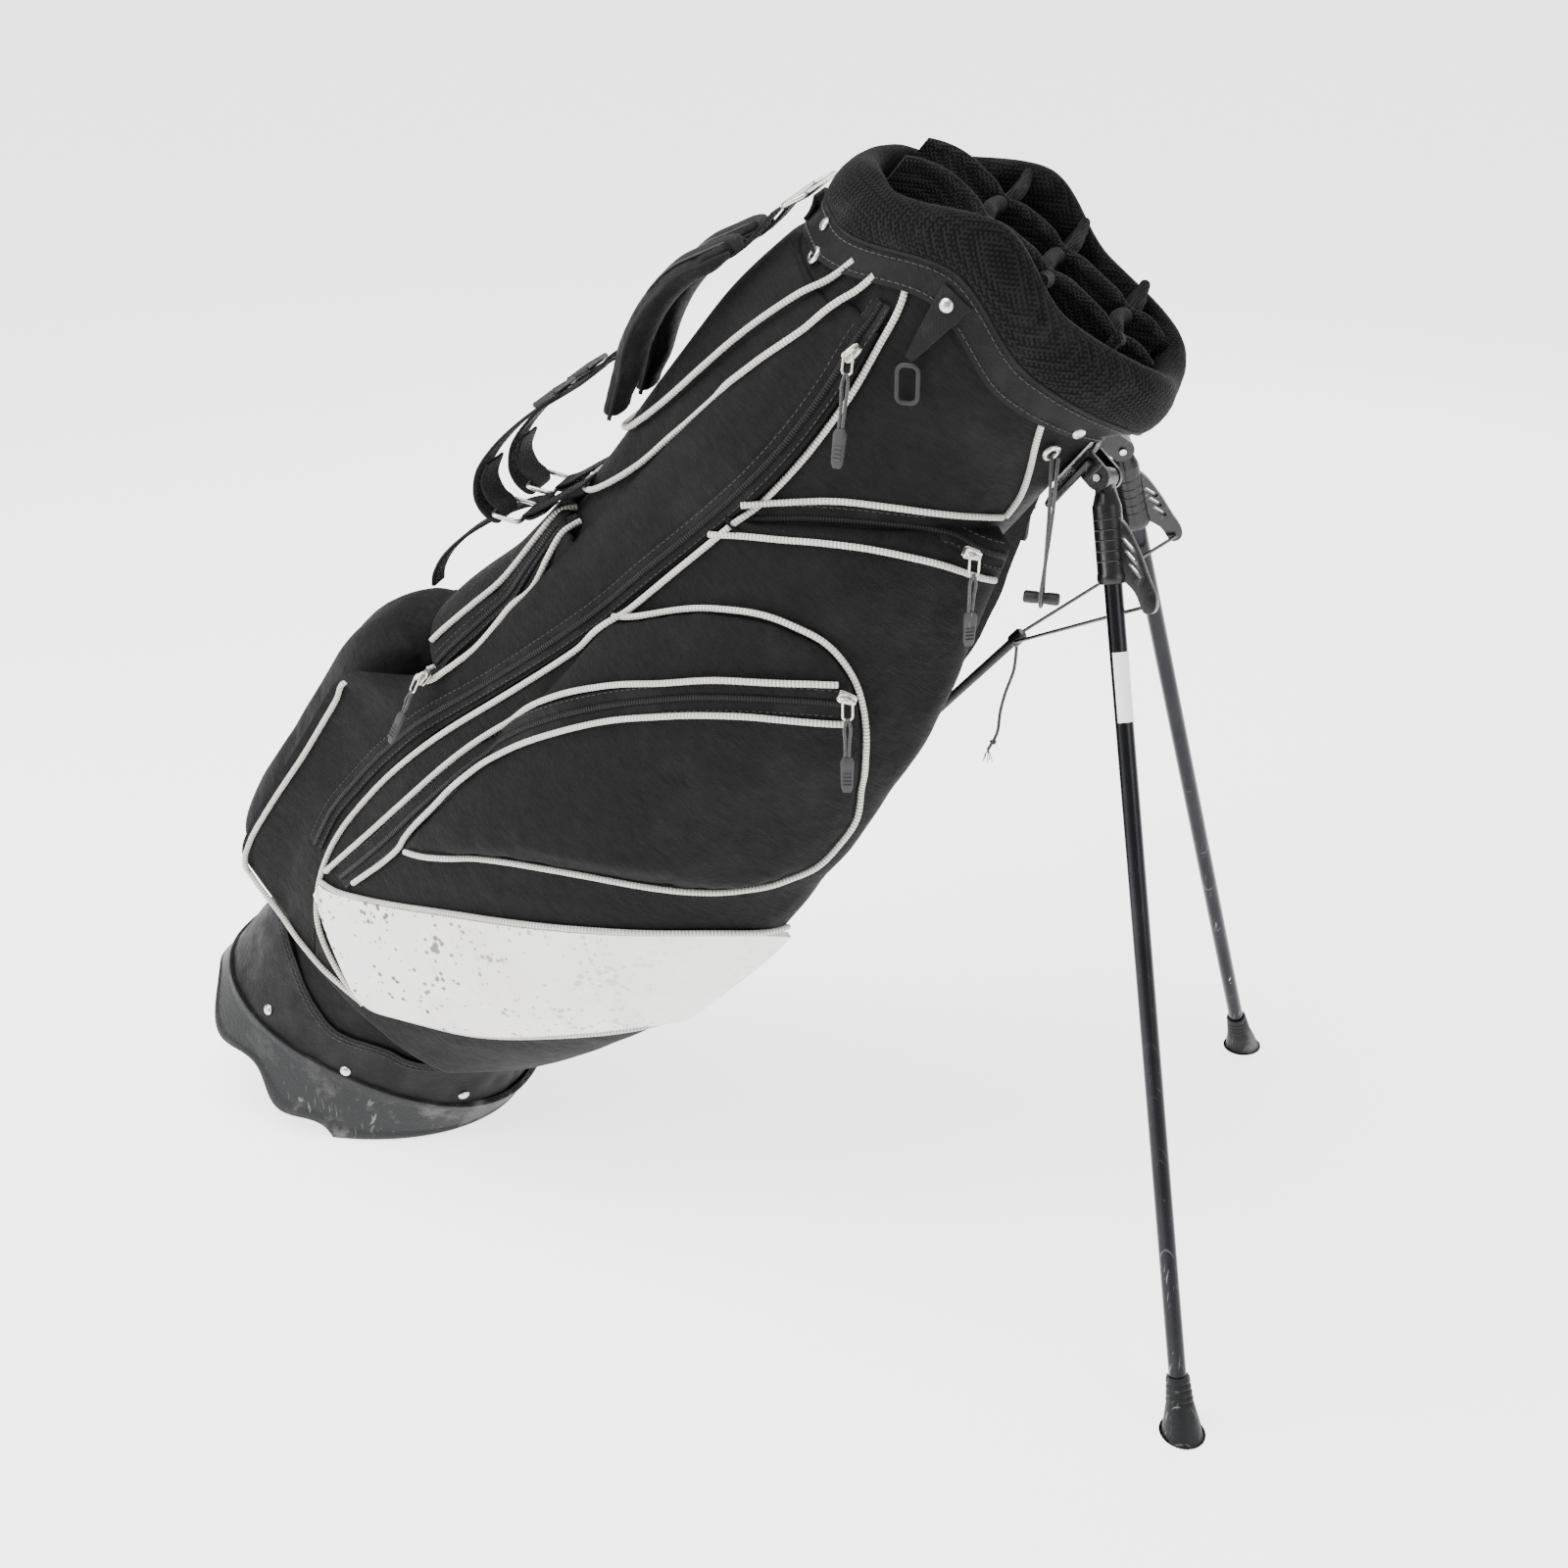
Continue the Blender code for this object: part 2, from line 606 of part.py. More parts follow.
strap("grab_handle", [(0.546, -0.1620, 0), (0.530, -0.1740, 0), (0.505, -0.1860, 0), (0.478, -0.1950, 0),
                      (0.452, -0.1990, 0), (0.434, -0.1970, 0), (0.424, -0.1920, 0)], 0.020, 0.0030, "webbing")

# Stand: a head on the belly, and on each side a pin, a yoke, a tube and a rubber foot
PIVOT_PLATE = 0.1075
PLATE_THICK = 0.0055
EAR_BASE = 0.0190
EAR_THICK = 0.0035
BARREL_HALF = 0.0070
EAR_R = 0.0085
PIN_R = 0.0025


def leg_frame(side):
    """Pivot, leg direction, outward direction across the leg and hinge axis of one leg (side -1 is near)."""
    pivot = at(PIVOT[0], PIVOT[1], PIVOT[2] * side)
    foot = at(FOOT_CENTRE[0], FOOT_CENTRE[1], FOOT_CENTRE[2] * side)
    leg = (foot - pivot).normalized()
    folded = -UP_BAG
    sweep = (leg - folded * leg.dot(folded)).normalized()
    axis = folded.cross(sweep).normalized() * side
    out = (-folded - leg * leg.dot(-folded)).normalized()
    return pivot, leg, out, sweep, axis


head = block("stand_head", at(0.842, PIVOT_PLATE + PLATE_THICK / 2, 0), UP_BAG, TO_BELLY, ACROSS,
             (0.044, PLATE_THICK, 0.100), "plastic", 0.0012)
for side in (-1, 1):
    pivot, leg, out, sweep, axis = leg_frame(side)
    for shift in (-1, 1):
        middle = pivot + axis * shift * (BARREL_HALF + 0.0004 + EAR_THICK / 2)
        tip = [(EAR_R * math.cos(a), EAR_R * math.sin(a)) for a in np.linspace(0, math.pi, 9)]
        ear = prism("ear", tip + [(-EAR_R, -EAR_BASE), (EAR_R, -EAR_BASE)], middle, UP_BAG, sweep, EAR_THICK, "plastic")
        hole = turned("hole", middle - axis * 0.01, axis, [(0, PIN_R + GAP), (0.02, PIN_R + GAP)], "plastic", 16)
        ear = combine(ear, hole, "DIFFERENCE")
        head = combine(head, ear, "UNION")

for side, word in ((-1, "near"), (1, "far")):
    pivot, leg, out, sweep, axis = leg_frame(side)
    half_pin = BARREL_HALF + EAR_THICK + 0.0024
    turned(f"pivot_pin_{word}", pivot - axis * half_pin, axis, [(0, PIN_R), (half_pin * 2, PIN_R)], "steel", 16)
    yoke = turned(f"leg_yoke_{word}", pivot - axis * BARREL_HALF, axis, [(0, 0.0080), (BARREL_HALF * 2, 0.0080)],
                  "plastic", 20)
    sleeve = turned("sleeve", pivot, leg, [(0.0150, 0.0085), (0.0190, SLEEVE_R), (0.0680, SLEEVE_R),
                                           (0.0720, 0.0088)], "plastic", 20)
    neck = block("neck", pivot + leg * 0.012, leg, out, axis, (0.022, 0.0120, BARREL_HALF * 2 - 0.0004), "plastic")
    fin_points = [(0.030, 0.004), (0.030, 0.011), (0.049, 0.020), (0.070, 0.0265), (0.084, 0.0310),
                  (0.0925, 0.0290), (0.0925, 0.0215), (0.078, 0.0160), (0.0655, 0.0040)]
    fin = prism("fin", fin_points, pivot, leg, out, 0.0060, "plastic")
    for tool in (sleeve, neck, fin):
        yoke = combine(yoke, tool, "UNION")
    bore = turned("bore", pivot - axis * 0.02, axis, [(0, PIN_R + GAP), (0.04, PIN_R + GAP)], "plastic", 16)
    socket = turned("socket", pivot, leg, [(0.0240, TUBE_R + GAP), (0.1000, TUBE_R + GAP)], "plastic", 20)
    for tool in (bore, socket):
        yoke = combine(yoke, tool, "DIFFERENCE")
    length = (at(FOOT_CENTRE[0], FOOT_CENTRE[1], FOOT_CENTRE[2] * side) - pivot).length
    turned(f"leg_tube_{word}", pivot, leg, [(0.0245, TUBE_R), (length - 0.018, TUBE_R)], "leg_metal", 20)
    foot = turned(f"foot_{word}", pivot, leg,
                  [(length - 0.0177, TUBE_R + GAP), (length - 0.040, TUBE_R + GAP), (length - 0.040, 0.0084),
                   (length - 0.030, 0.0090), (length - 0.012, 0.0122), (length + 0.030, 0.0165)], "rubber", 20)
    ground = block("ground", Vector((foot.data.vertices[0].co.x, foot.data.vertices[0].co.y, -0.1)),
                   Vector((1, 0, 0)), Vector((0, 1, 0)), Vector((0, 0, 1)), (0.4, 0.4, 0.2), "rubber")
    combine(foot, ground, "DIFFERENCE")

# Leg release: a rod in the belly channel, its guide, and a wire from each yoke's fin to the rod's head
ROD_TOP = at(*APEX, 0)
ROD_LOW = at(*ROD_END, 0)
ROD_WAY = (ROD_LOW - ROD_TOP).normalized()
turned("release_rod", ROD_TOP + ROD_WAY * 0.0063, ROD_WAY, [(0, ROD_R), ((ROD_LOW - ROD_TOP).length, ROD_R)],
       "plastic", 12)
turned("release_head", ROD_TOP, ROD_WAY, [(-0.006, 0.0040), (-0.0045, 0.0052), (0.0045, 0.0052), (0.006, 0.0040)],
       "plastic", 16)
guide_centre = ROD_TOP + ROD_WAY * 0.470
guide = block("rod_guide", guide_centre - TO_BELLY * 0.0105, ROD_WAY, ACROSS, ROD_WAY.cross(ACROSS),
              (0.020, 0.020, 0.040), "plastic", 0.0015)
combine(guide, turned("hole", guide_centre - ROD_WAY * 0.05, ROD_WAY, [(0, ROD_R + 0.0006), (0.1, ROD_R + 0.0006)],
                      "plastic", 16), "DIFFERENCE")
for side, word in ((-1, "near"), (1, "far")):
    pivot, leg, out, sweep, axis = leg_frame(side)
    inner = axis if axis.y * side < 0 else -axis
    start = pivot + leg * ARM_ALONG + out * ARM_OUT + inner * (0.0030 + WIRE_R + GAP)
    end = ROD_TOP + ACROSS * side * 0.0078
    cord(f"release_wire_{word}", [start.lerp(end, t) for t in (0, 0.33, 0.67, 1)], WIRE_R, "steel")

# Small hanging pieces: towel ring, umbrella loop and toggle, the release cord's tail, and the zip sliders
DOWN = Vector((0, 0, -1))
TOWEL_END = (0.853, 76.0)
TOWEL_TOP = (0.905, 75.0)


def tab_place(t, s):
    """Triangular webbing tab: wide under its rivet, narrow at the towel ring."""
    u = TOWEL_TOP[0] + (TOWEL_END[0] - TOWEL_TOP[0]) * s
    return u, TOWEL_TOP[1] + (TOWEL_END[1] - TOWEL_TOP[1]) * s + (6.0 - 4.5 * s) * (2 * t - 1)


patch("towel_tab", tab_place, lambda u, phi, t, s: body_r(u, phi) + 0.0042,
      lambda u, phi, t, s: body_r(u, phi) + 0.0064, "webbing", 4, 4)
towel_hang = polar(*TOWEL_END, body_r(*TOWEL_END) + 0.0062) + DOWN * 0.0165
wire_ring("towel_ring", towel_hang, DOWN, Vector((1, 0, 0)), 0.0125, 0.0070, 0.0017, "plastic", 0.7)

CORD_R = 0.00125
TOGGLE_R = 0.0045
eyelet = polar(0.856, 141.0, body_r(0.856, 141.0) + 0.0062)
toggle_centre = eyelet + DOWN * 0.098 + Vector((0, -0.004, 0))
turned("umbrella_toggle", toggle_centre - Vector((0.0125, 0, 0)), Vector((1, 0, 0)),
       [(0, TOGGLE_R * 0.85), (0.001, TOGGLE_R), (0.024, TOGGLE_R), (0.025, TOGGLE_R * 0.85)], "plastic", 16)
loop_r = TOGGLE_R + GAP + CORD_R
route = [eyelet + Vector((0, 0.0022, 0)), eyelet + Vector((0.001, -0.003, -0.012)),
         eyelet + Vector((0.001, -0.0005, -0.040)), toggle_centre + Vector((0, loop_r, 0.010))]
for angle in (0, 45, 90, 135, 180):
    turn = math.radians(angle)
    route.append(toggle_centre + Vector((0, math.cos(turn), -math.sin(turn))) * loop_r)
route += [toggle_centre + Vector((0.0005, -loop_r, 0.010)), eyelet + Vector((0.004, -0.0050, -0.040)),
          eyelet + Vector((0.005, -0.0060, -0.012)), eyelet + Vector((0.005, -0.0010, 0.000))]
cord("umbrella_loop", route, CORD_R)

tail_top = ROD_TOP + DOWN * 0.0075
cord("release_tail", [tail_top, tail_top + Vector((-0.001, -0.001, -0.018)),
                      tail_top + Vector((-0.006, -0.002, -0.036)), tail_top + Vector((-0.009, -0.003, -0.052)),
                      tail_top + Vector((-0.010, -0.006, -0.068)), tail_top + Vector((-0.016, -0.008, -0.082))],
     0.0012)


def zip_slider(name, u, phi, face_r, zip_way, pull_length):
    """Slider on a zip and the pull that hangs from it, clear of the pocket behind."""
    step = 0.001
    place = polar(u, phi, face_r(u, phi))
    normal = (polar(u + step, phi, face_r(u + step, phi)) - place).cross(
        polar(u, phi + 1, face_r(u, phi + 1)) - place).normalized()
    if normal.y > 0:
        normal = -normal
    way = along(*zip_way)
    way = (way - normal * way.dot(normal)).normalized()
    cross = normal.cross(way)
    seat = place + normal * 0.0060
    block(f"zip_slider_{name}", seat, way, cross, normal, (0.0130, 0.0085, 0.0046), "nickel", 0.0012)
    drop = (DOWN - normal * DOWN.dot(normal)).normalized()
    drop = (drop + normal * 0.06).normalized()
    start = seat + normal * 0.0052
    shape = [(0, 0.0018), (pull_length * 0.45, 0.0022), (pull_length * 0.55, 0.0036), (pull_length, 0.0034)]
    turned(f"zip_pull_{name}", start, drop, shape, "plastic", 12)


zip_slider("garment", 0.832, 61.6, lambda u, phi: body_r(u, phi) + 0.008, (1, 0.10, 0), 0.074)
zip_slider("d_pocket", 0.660, 122.5, lambda u, phi: side_face(u, phi) + 0.0125, (0.35, 1, 0), 0.066)
zip_slider("side_pocket", 0.781, 131.0, lambda u, phi: side_face(u, phi) + 0.004, (0.30, 1, -0.2), 0.066)
zip_slider("spine_pocket", 0.414, 33.3, lambda u, phi: body_r(u, phi) + 0.036, (1, 0.05, 0), 0.056)
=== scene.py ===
import math

import bmesh
import bpy
import numpy as np
from mathutils import Matrix, Vector, noise
from mathutils.bvhtree import BVHTree


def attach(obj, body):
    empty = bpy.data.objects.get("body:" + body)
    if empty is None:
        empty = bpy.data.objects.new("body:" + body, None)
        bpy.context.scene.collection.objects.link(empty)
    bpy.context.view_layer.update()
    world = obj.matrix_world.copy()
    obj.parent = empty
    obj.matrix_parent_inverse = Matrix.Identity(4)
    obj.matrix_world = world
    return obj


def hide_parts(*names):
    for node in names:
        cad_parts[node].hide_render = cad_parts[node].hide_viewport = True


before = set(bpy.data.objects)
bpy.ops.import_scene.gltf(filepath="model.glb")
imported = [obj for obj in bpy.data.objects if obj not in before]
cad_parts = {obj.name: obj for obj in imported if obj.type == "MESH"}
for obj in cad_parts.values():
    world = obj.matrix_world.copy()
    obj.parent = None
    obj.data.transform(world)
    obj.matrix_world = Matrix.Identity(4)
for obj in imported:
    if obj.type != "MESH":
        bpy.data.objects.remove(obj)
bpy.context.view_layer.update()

# Studio: a pale floor, a camera at standing height looking down along the bag, and soft light.
# Four square sheets of light, overhead, left, right and behind, leave broad soft highlights on the
# cloth, and the left one brings out the folds of the side pocket.
CAMERA_PLACE = Vector((0.4604, -1.3629, 1.0765))
CAMERA_TARGET = Vector((0.0685, 0.0, 0.3420))
CAMERA_LENS = 46.86


def aim(obj, target):
    """Turns a camera or a light to look at a place."""
    obj.rotation_mode = "QUATERNION"
    obj.rotation_quaternion = (target - obj.location).to_track_quat("-Z", "Y")


camera = bpy.data.objects.new("camera", bpy.data.cameras.new("camera"))
camera.location = CAMERA_PLACE
camera.data.lens = CAMERA_LENS
camera.data.sensor_width = 36.0
camera.data.clip_start = 0.05
bpy.context.scene.collection.objects.link(camera)
aim(camera, CAMERA_TARGET)
bpy.context.scene.camera = camera

for lamp, place, size, power in (("sky_sheet", (-0.6, -0.4, 2.2), 1.5, 62.0),
                                 ("left_sheet", (-2.0, -1.3, 1.3), 1.2, 44.0),
                                 ("right_sheet", (2.1, -1.2, 1.3), 1.3, 22.0),
                                 ("back_sheet", (0.4, 2.2, 1.6), 1.8, 26.0)):
    light = bpy.data.objects.new(lamp, bpy.data.lights.new(lamp, "AREA"))
    light.data.shape = "SQUARE"
    light.data.size = size
    light.data.energy = power
    light.location = place
    bpy.context.scene.collection.objects.link(light)
    aim(light, Vector((0.0, 0.0, 0.35)))

world = bpy.data.worlds.new("studio")
bpy.context.scene.world = world
world.use_nodes = True
world.node_tree.nodes["Background"].inputs["Color"].default_value = (1.0, 1.0, 1.0, 1.0)
world.node_tree.nodes["Background"].inputs["Strength"].default_value = 0.75

floor_mesh = bpy.data.meshes.new("studio_floor")
FLOOR_REACH = 14.0
FLOOR_LOW = -0.0006
FLOOR_CORNERS = ((-1, -1), (1, -1), (1, 1), (-1, 1))
floor_mesh.from_pydata([(FLOOR_REACH * x, FLOOR_REACH * y, FLOOR_LOW) for x, y in FLOOR_CORNERS], [], [(0, 1, 2, 3)])
studio_floor = bpy.data.objects.new("studio_floor", floor_mesh)
bpy.context.scene.collection.objects.link(studio_floor)


def node(tree, kind, settings=None, **sockets):
    """Node in a shader tree. A socket takes a value or another node's output; i0, i1 name sockets by number."""
    made = tree.nodes.new("ShaderNode" + kind)
    for key, value in (settings or {}).items():
        setattr(made, key, value)
    for key, value in sockets.items():
        numbered = key[0] == "i" and key[1:].isdigit()
        socket = made.inputs[int(key[1:])] if numbered else made.inputs[key.replace("_", " ")]
        if isinstance(value, bpy.types.NodeSocket):
            tree.links.new(value, socket)
        else:
            socket.default_value = value
    return made


def paint(name, rough, metal=0.0, sheen=0.0, coat=0.0, coat_rough=0.2, specular=0.5):
    """New material: its tree and its Principled shader, whose even values are set on the shader itself."""
    look = bpy.data.materials.new(name)
    look.use_nodes = True
    shader = look.node_tree.nodes["Principled BSDF"]
    for socket, value in (("Roughness", rough), ("Metallic", metal), ("Sheen Weight", sheen), ("Coat Weight", coat),
                          ("Coat Roughness", coat_rough), ("Specular IOR Level", specular)):
        shader.inputs[socket].default_value = value
    return look, look.node_tree, shader


def places_of(tree):
    """Places on a piece, in metres."""
    return node(tree, "TexCoord").outputs["Object"]


def finish_skin(tree, shader, base, shine=None, height=None, depth=0.0):
    """Joins a colour, a roughness and a relief of a given depth to a shader."""
    tree.links.new(base, shader.inputs["Base Color"])
    if shine is not None:
        tree.links.new(shine, shader.inputs["Roughness"])
    if height is not None:
        bump(tree, shader, height, depth)


def blend_colour(tree, share, low, high):
    """Colour between two, by a share that changes over the surface."""
    mix = node(tree, "Mix", {"data_type": "RGBA", "clamp_factor": True}, i0=share, i6=low, i7=high)
    return mix.outputs[2]


def shade(grey, warm=1.0):
    """Linear colour of a grey, slightly warm or cool."""
    return (grey * warm, grey, grey / warm, 1.0)


def span(tree, value, low, high, to_low, to_high):
    """Value stretched from one range to another, clamped."""
    return node(tree, "MapRange", None, Value=value, From_Min=low, From_Max=high, To_Min=to_low,
                To_Max=to_high).outputs[0]


def speckle(tree, place, scale, detail=4.0, rough=0.55):
    """Soft noise over places in metres."""
    return node(tree, "TexNoise", None, Vector=place, Scale=scale, Detail=detail, Roughness=rough).outputs["Fac"]


def height_of(tree, places):
    """Height above the ground, in metres."""
    return node(tree, "SeparateXYZ", None, Vector=places).outputs["Z"]


def bump(tree, shader, height, depth):
    """Relief of a given depth in metres on the shader's normal."""
    made = node(tree, "Bump", None, Strength=1.0, Distance=depth, Height=height)
    tree.links.new(made.outputs["Normal"], shader.inputs["Normal"])


look, tree, shader = paint("floor_paper", 0.85)
finish_skin(tree, shader, blend_colour(tree, speckle(tree, places_of(tree), 3.0), shade(0.93), shade(0.96)))
shader.inputs["Emission Color"].default_value = (1.0, 1.0, 1.0, 1.0)
shader.inputs["Emission Strength"].default_value = 2.3
floor_mesh.materials.append(look)


# Free cords: the elastic loop that holds an umbrella, and the frayed pull cord of the leg release.
# Both are round braided cord. The elastic goes out through an eyelet, round its toggle and back in;
# the pull cord hangs from the release head and ends in a knot and loose strands.
LEAN = math.radians(38.0)
SIN, COS = math.sin(LEAN), math.cos(LEAN)
UP_BAG = Vector((SIN, 0, COS))
TO_BELLY = Vector((COS, 0, -SIN))
ACROSS = Vector((0, 1, 0))
DOWN = Vector((0, 0, -1))
CHAMFER_START = 0.046
BASE = Vector((-0.3239, 0, CHAMFER_START * SIN))
SPINE_R = ((0.0, 0.140), (0.30, 0.138), (0.57, 0.142), (0.76, 0.145), (0.87, 0.133), (0.95, 0.130))
BELLY_R = ((0.07, 0.126), (0.15, 0.106), (0.87, 0.106), (0.905, 0.126))
SIDE_R = ((0.12, 0.106), (0.40, 0.110), (0.70, 0.104), (0.86, 0.098))
ROUNDNESS = 2.25
GAP = 0.0003


def at(u, w, y):
    """World point of a place on the bag: up it, from spine to belly, and across."""
    return BASE + UP_BAG * u + TO_BELLY * w + ACROSS * y


def along(u, w, y):
    """World direction of a direction on the bag."""
    return UP_BAG * u + TO_BELLY * w + ACROSS * y


def smooth(x, knots):
    """Smooth curve through (place, value) knots, level beyond its ends."""
    if x <= knots[0][0]:
        return knots[0][1]
    for (x0, v0), (x1, v1) in zip(knots, knots[1:]):
        if x <= x1:
            t = (x - x0) / (x1 - x0)
            return v0 + (v1 - v0) * t * t * (3 - 2 * t)
    return knots[-1][1]


def near_phi(phi):
    """Angle round the bag folded onto the near half."""
    phi = phi % 360
    return 360 - phi if phi > 180 else phi


def body_r(u, phi):
    """Radius of the bag's tube at a height and an angle: 0 is the spine, 90 the near side, 180 the belly."""
    c, s = math.cos(math.radians(phi)), math.sin(math.radians(phi))
    end = smooth(u, SPINE_R if c > 0 else BELLY_R)
    return ((abs(c) / end) ** ROUNDNESS + (abs(s) / smooth(u, SIDE_R)) ** ROUNDNESS) ** (-1 / ROUNDNESS)


def polar(u, phi, r):
    """World point at a height, an angle and a distance from the bag's axis."""
    a = math.radians(phi)
    return at(u, -r * math.cos(a), -r * math.sin(a))


def catmull(points, per_span):
    """Points of a smooth curve through the given ones."""
    p = [Vector(q) for q in points]
    p = [p[0] * 2 - p[1]] + p + [p[-1] * 2 - p[-2]]
    out = []
    for a, b, c, d in zip(p, p[1:], p[2:], p[3:]):
        for i in range(per_span):
            t = i / per_span
            out.append(0.5 * ((2 * b) + (c - a) * t + (2 * a - 5 * b + 4 * c - d) * t * t
                              + (3 * b - a - 3 * c + d) * t ** 3))
    out.append(p[-2])
    return out


def keep(name, mesh, look, body="bag", nodes=(), sharp=50):
    """Finished mesh as a piece that rides on a body, with its finish and the solids it stands for."""
    mesh.materials.append(look)
    mesh.shade_smooth()
    mesh.set_sharp_from_angle(angle=math.radians(sharp))
    made = bpy.data.objects.new(name, mesh)
    bpy.context.scene.collection.objects.link(made)
    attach(made, body)
    if nodes:
        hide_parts(*nodes)
    return made


def closed(name, points, faces):
    """Mesh of points and faces, with its faces out."""
    bm = bmesh.new()
    verts = [bm.verts.new(p) for p in points]
    for face in faces:
        bm.faces.new([verts[i] for i in face])
    bmesh.ops.recalc_face_normals(bm, faces=bm.faces)
    mesh = bpy.data.meshes.new(name)
    bm.to_mesh(mesh)
    bm.free()
    return mesh


def strip_faces(rings, count, first=0, loop=False, ring_open=False):
    """Faces between rings of points, each ring closed on itself unless told otherwise."""
    faces = []
    for i in range(rings if loop else rings - 1):
        low, high = first + i * count, first + ((i + 1) % rings) * count
        for j in range(count - 1 if ring_open else count):
            k = (j + 1) % count
            faces.append((low + j, low + k, high + k, high + j))
    return faces


def swept(path, shape, sides_way=None, closed_path=False):
    """Rings along a path. shape(i, share) gives the ring's (across, out) points; sides_way fixes the across side."""
    rings, last = [], None
    count = len(path)
    for i, p in enumerate(path):
        ahead = path[(i + 1) % count] if closed_path else path[min(i + 1, count - 1)]
        behind = path[i - 1] if closed_path or i else path[0]
        tangent = (ahead - behind).normalized()
        if sides_way is not None:
            wanted = sides_way[i] if isinstance(sides_way, list) else sides_way
        else:
            wanted = last if last is not None else tangent.orthogonal()
        wide = (wanted - tangent * wanted.dot(tangent)).normalized()
        last = wide
        out = tangent.cross(wide)
        rings.append([p + wide * x + out * z for x, z in shape(i, i / max(1, count - 1))])
    return rings


def round_shape(radius, sides=10):
    """Circle as a ring shape: radius is a number or a function of the ring's number and share."""
    circle = [(math.cos(2 * math.pi * k / sides), math.sin(2 * math.pi * k / sides)) for k in range(sides)]

    def shape(i, share):
        r = radius(i, share) if callable(radius) else radius
        return [(x * r, z * r) for x, z in circle]
    return shape


def tube_parts(rings, loop=False):
    """Points and faces of a closed tube through rings, capped where it doesn't loop."""
    count = len(rings[0])
    points = [p for ring in rings for p in ring]
    faces = strip_faces(len(rings), count, loop=loop)
    if not loop:
        faces.append(tuple(range(count)))
        faces.append(tuple(len(points) - count + j for j in range(count)))
    return points, faces


def tube(name, rings, look, body="bag", nodes=(), loop=False, sharp=50):
    """Piece through rings of points."""
    points, faces = tube_parts(rings, loop)
    return keep(name, closed(name, points, faces), look, body, nodes, sharp)


def gather(name, parts, look, body="bag", nodes=(), sharp=50):
    """One piece of several closed parts, such as a row of rivets or stitches."""
    points, faces = [], []
    for part_points, part_faces in parts:
        faces += [tuple(i + len(points) for i in face) for face in part_faces]
        points += part_points
    return keep(name, closed(name, points, faces), look, body, nodes, sharp)


def effect(name, inputs, outputs):
    """Node group for an effect that materials share: its tree, its inputs' node and its outputs' node."""
    made = bpy.data.node_groups.new(name, "ShaderNodeTree")
    for label, value in inputs.items():
        made.interface.new_socket(label, in_out="INPUT", socket_type="NodeSocketFloat").default_value = value
    for label in outputs:
        made.interface.new_socket(label, in_out="OUTPUT", socket_type="NodeSocketFloat")
    return made, made.nodes.new("NodeGroupInput"), made.nodes.new("NodeGroupOutput")


def use(tree, group, **values):
    """An effect placed in a material, with its own values."""
    made = tree.nodes.new("ShaderNodeGroup")
    made.node_tree = group
    for key, value in values.items():
        made.inputs[key].default_value = value
    return made


def maths(tree, kind, a, b=0.0, c=0.0):
    """Sum, product or other simple function of values."""
    return node(tree, "Math", {"operation": kind}, i0=a, i1=b, i2=c).outputs[0]


# braid: crossing strands of a round cord, from the place alone, so that it needs no unwrapping
braid, ends_in, ends_out = effect("braid", {"Pitch": 0.0012}, ("Height",))
parted = node(braid, "SeparateXYZ", None, Vector=places_of(braid))
turns = maths(braid, "DIVIDE", math.tau, ends_in.outputs["Pitch"])
crossing = None
for label in "XYZ":
    wave = maths(braid, "SINE", maths(braid, "MULTIPLY", parted.outputs[label], turns))
    crossing = wave if crossing is None else maths(braid, "MULTIPLY", maths(braid, "ADD", crossing, 0.35), wave)
braid.links.new(crossing, ends_out.inputs["Height"])

elastic, tree, shader = paint("braided_elastic", 0.72, sheen=0.3)
height = use(tree, braid, Pitch=0.0011).outputs["Height"]
# The cord's colour is painted shade and light from its relief: darker in the hollows between strands, lighter on the
# raised strands.
tone_with_painted_shade = blend_colour(tree, span(tree, height, -0.6, 0.9, 0, 1), shade(0.008), shade(0.036, 1.03))
finish_skin(tree, shader, tone_with_painted_shade, None, height, 0.0003)

CORD_R = 0.00125
TOGGLE_R = 0.0045
TOGGLE_HALF = 0.0125
eyelet = polar(0.856, 141.0, body_r(0.856, 141.0) + 0.0062)
toggle_centre = eyelet + DOWN * 0.098 + Vector((0, -0.004, 0))
loop_r = TOGGLE_R + GAP + CORD_R
LOOP_DOWN = ((0, 0.0022, 0), (0.001, -0.003, -0.012), (0.001, -0.0005, -0.040))
LOOP_UP = ((0.004, -0.0050, -0.040), (0.005, -0.0060, -0.012), (0.005, -0.0010, 0.000))
loop_route = [eyelet + Vector(step) for step in LOOP_DOWN] + [toggle_centre + Vector((0, loop_r, 0.010))]
for angle in (0, 45, 90, 135, 180):
    turn = math.radians(angle)
    loop_route.append(toggle_centre + Vector((0, math.cos(turn), -math.sin(turn))) * loop_r)
loop_route.append(toggle_centre + Vector((0.0005, -loop_r, 0.010)))
loop_route += [eyelet + Vector(step) for step in LOOP_UP]
loop_line = catmull(loop_route, 6)


def length_of(points):
    """Length of a line of points."""
    return sum((b - a).length for a, b in zip(points, points[1:]))


def walked(points):
    """Lengths along a line of points, from its start to each of them."""
    return np.concatenate([[0.0], np.cumsum([(b - a).length for a, b in zip(points, points[1:])])])


umbrella_loop = tube("umbrella_elastic", swept(loop_line, round_shape(CORD_R, 10)), elastic,
                     nodes=("umbrella_loop",))

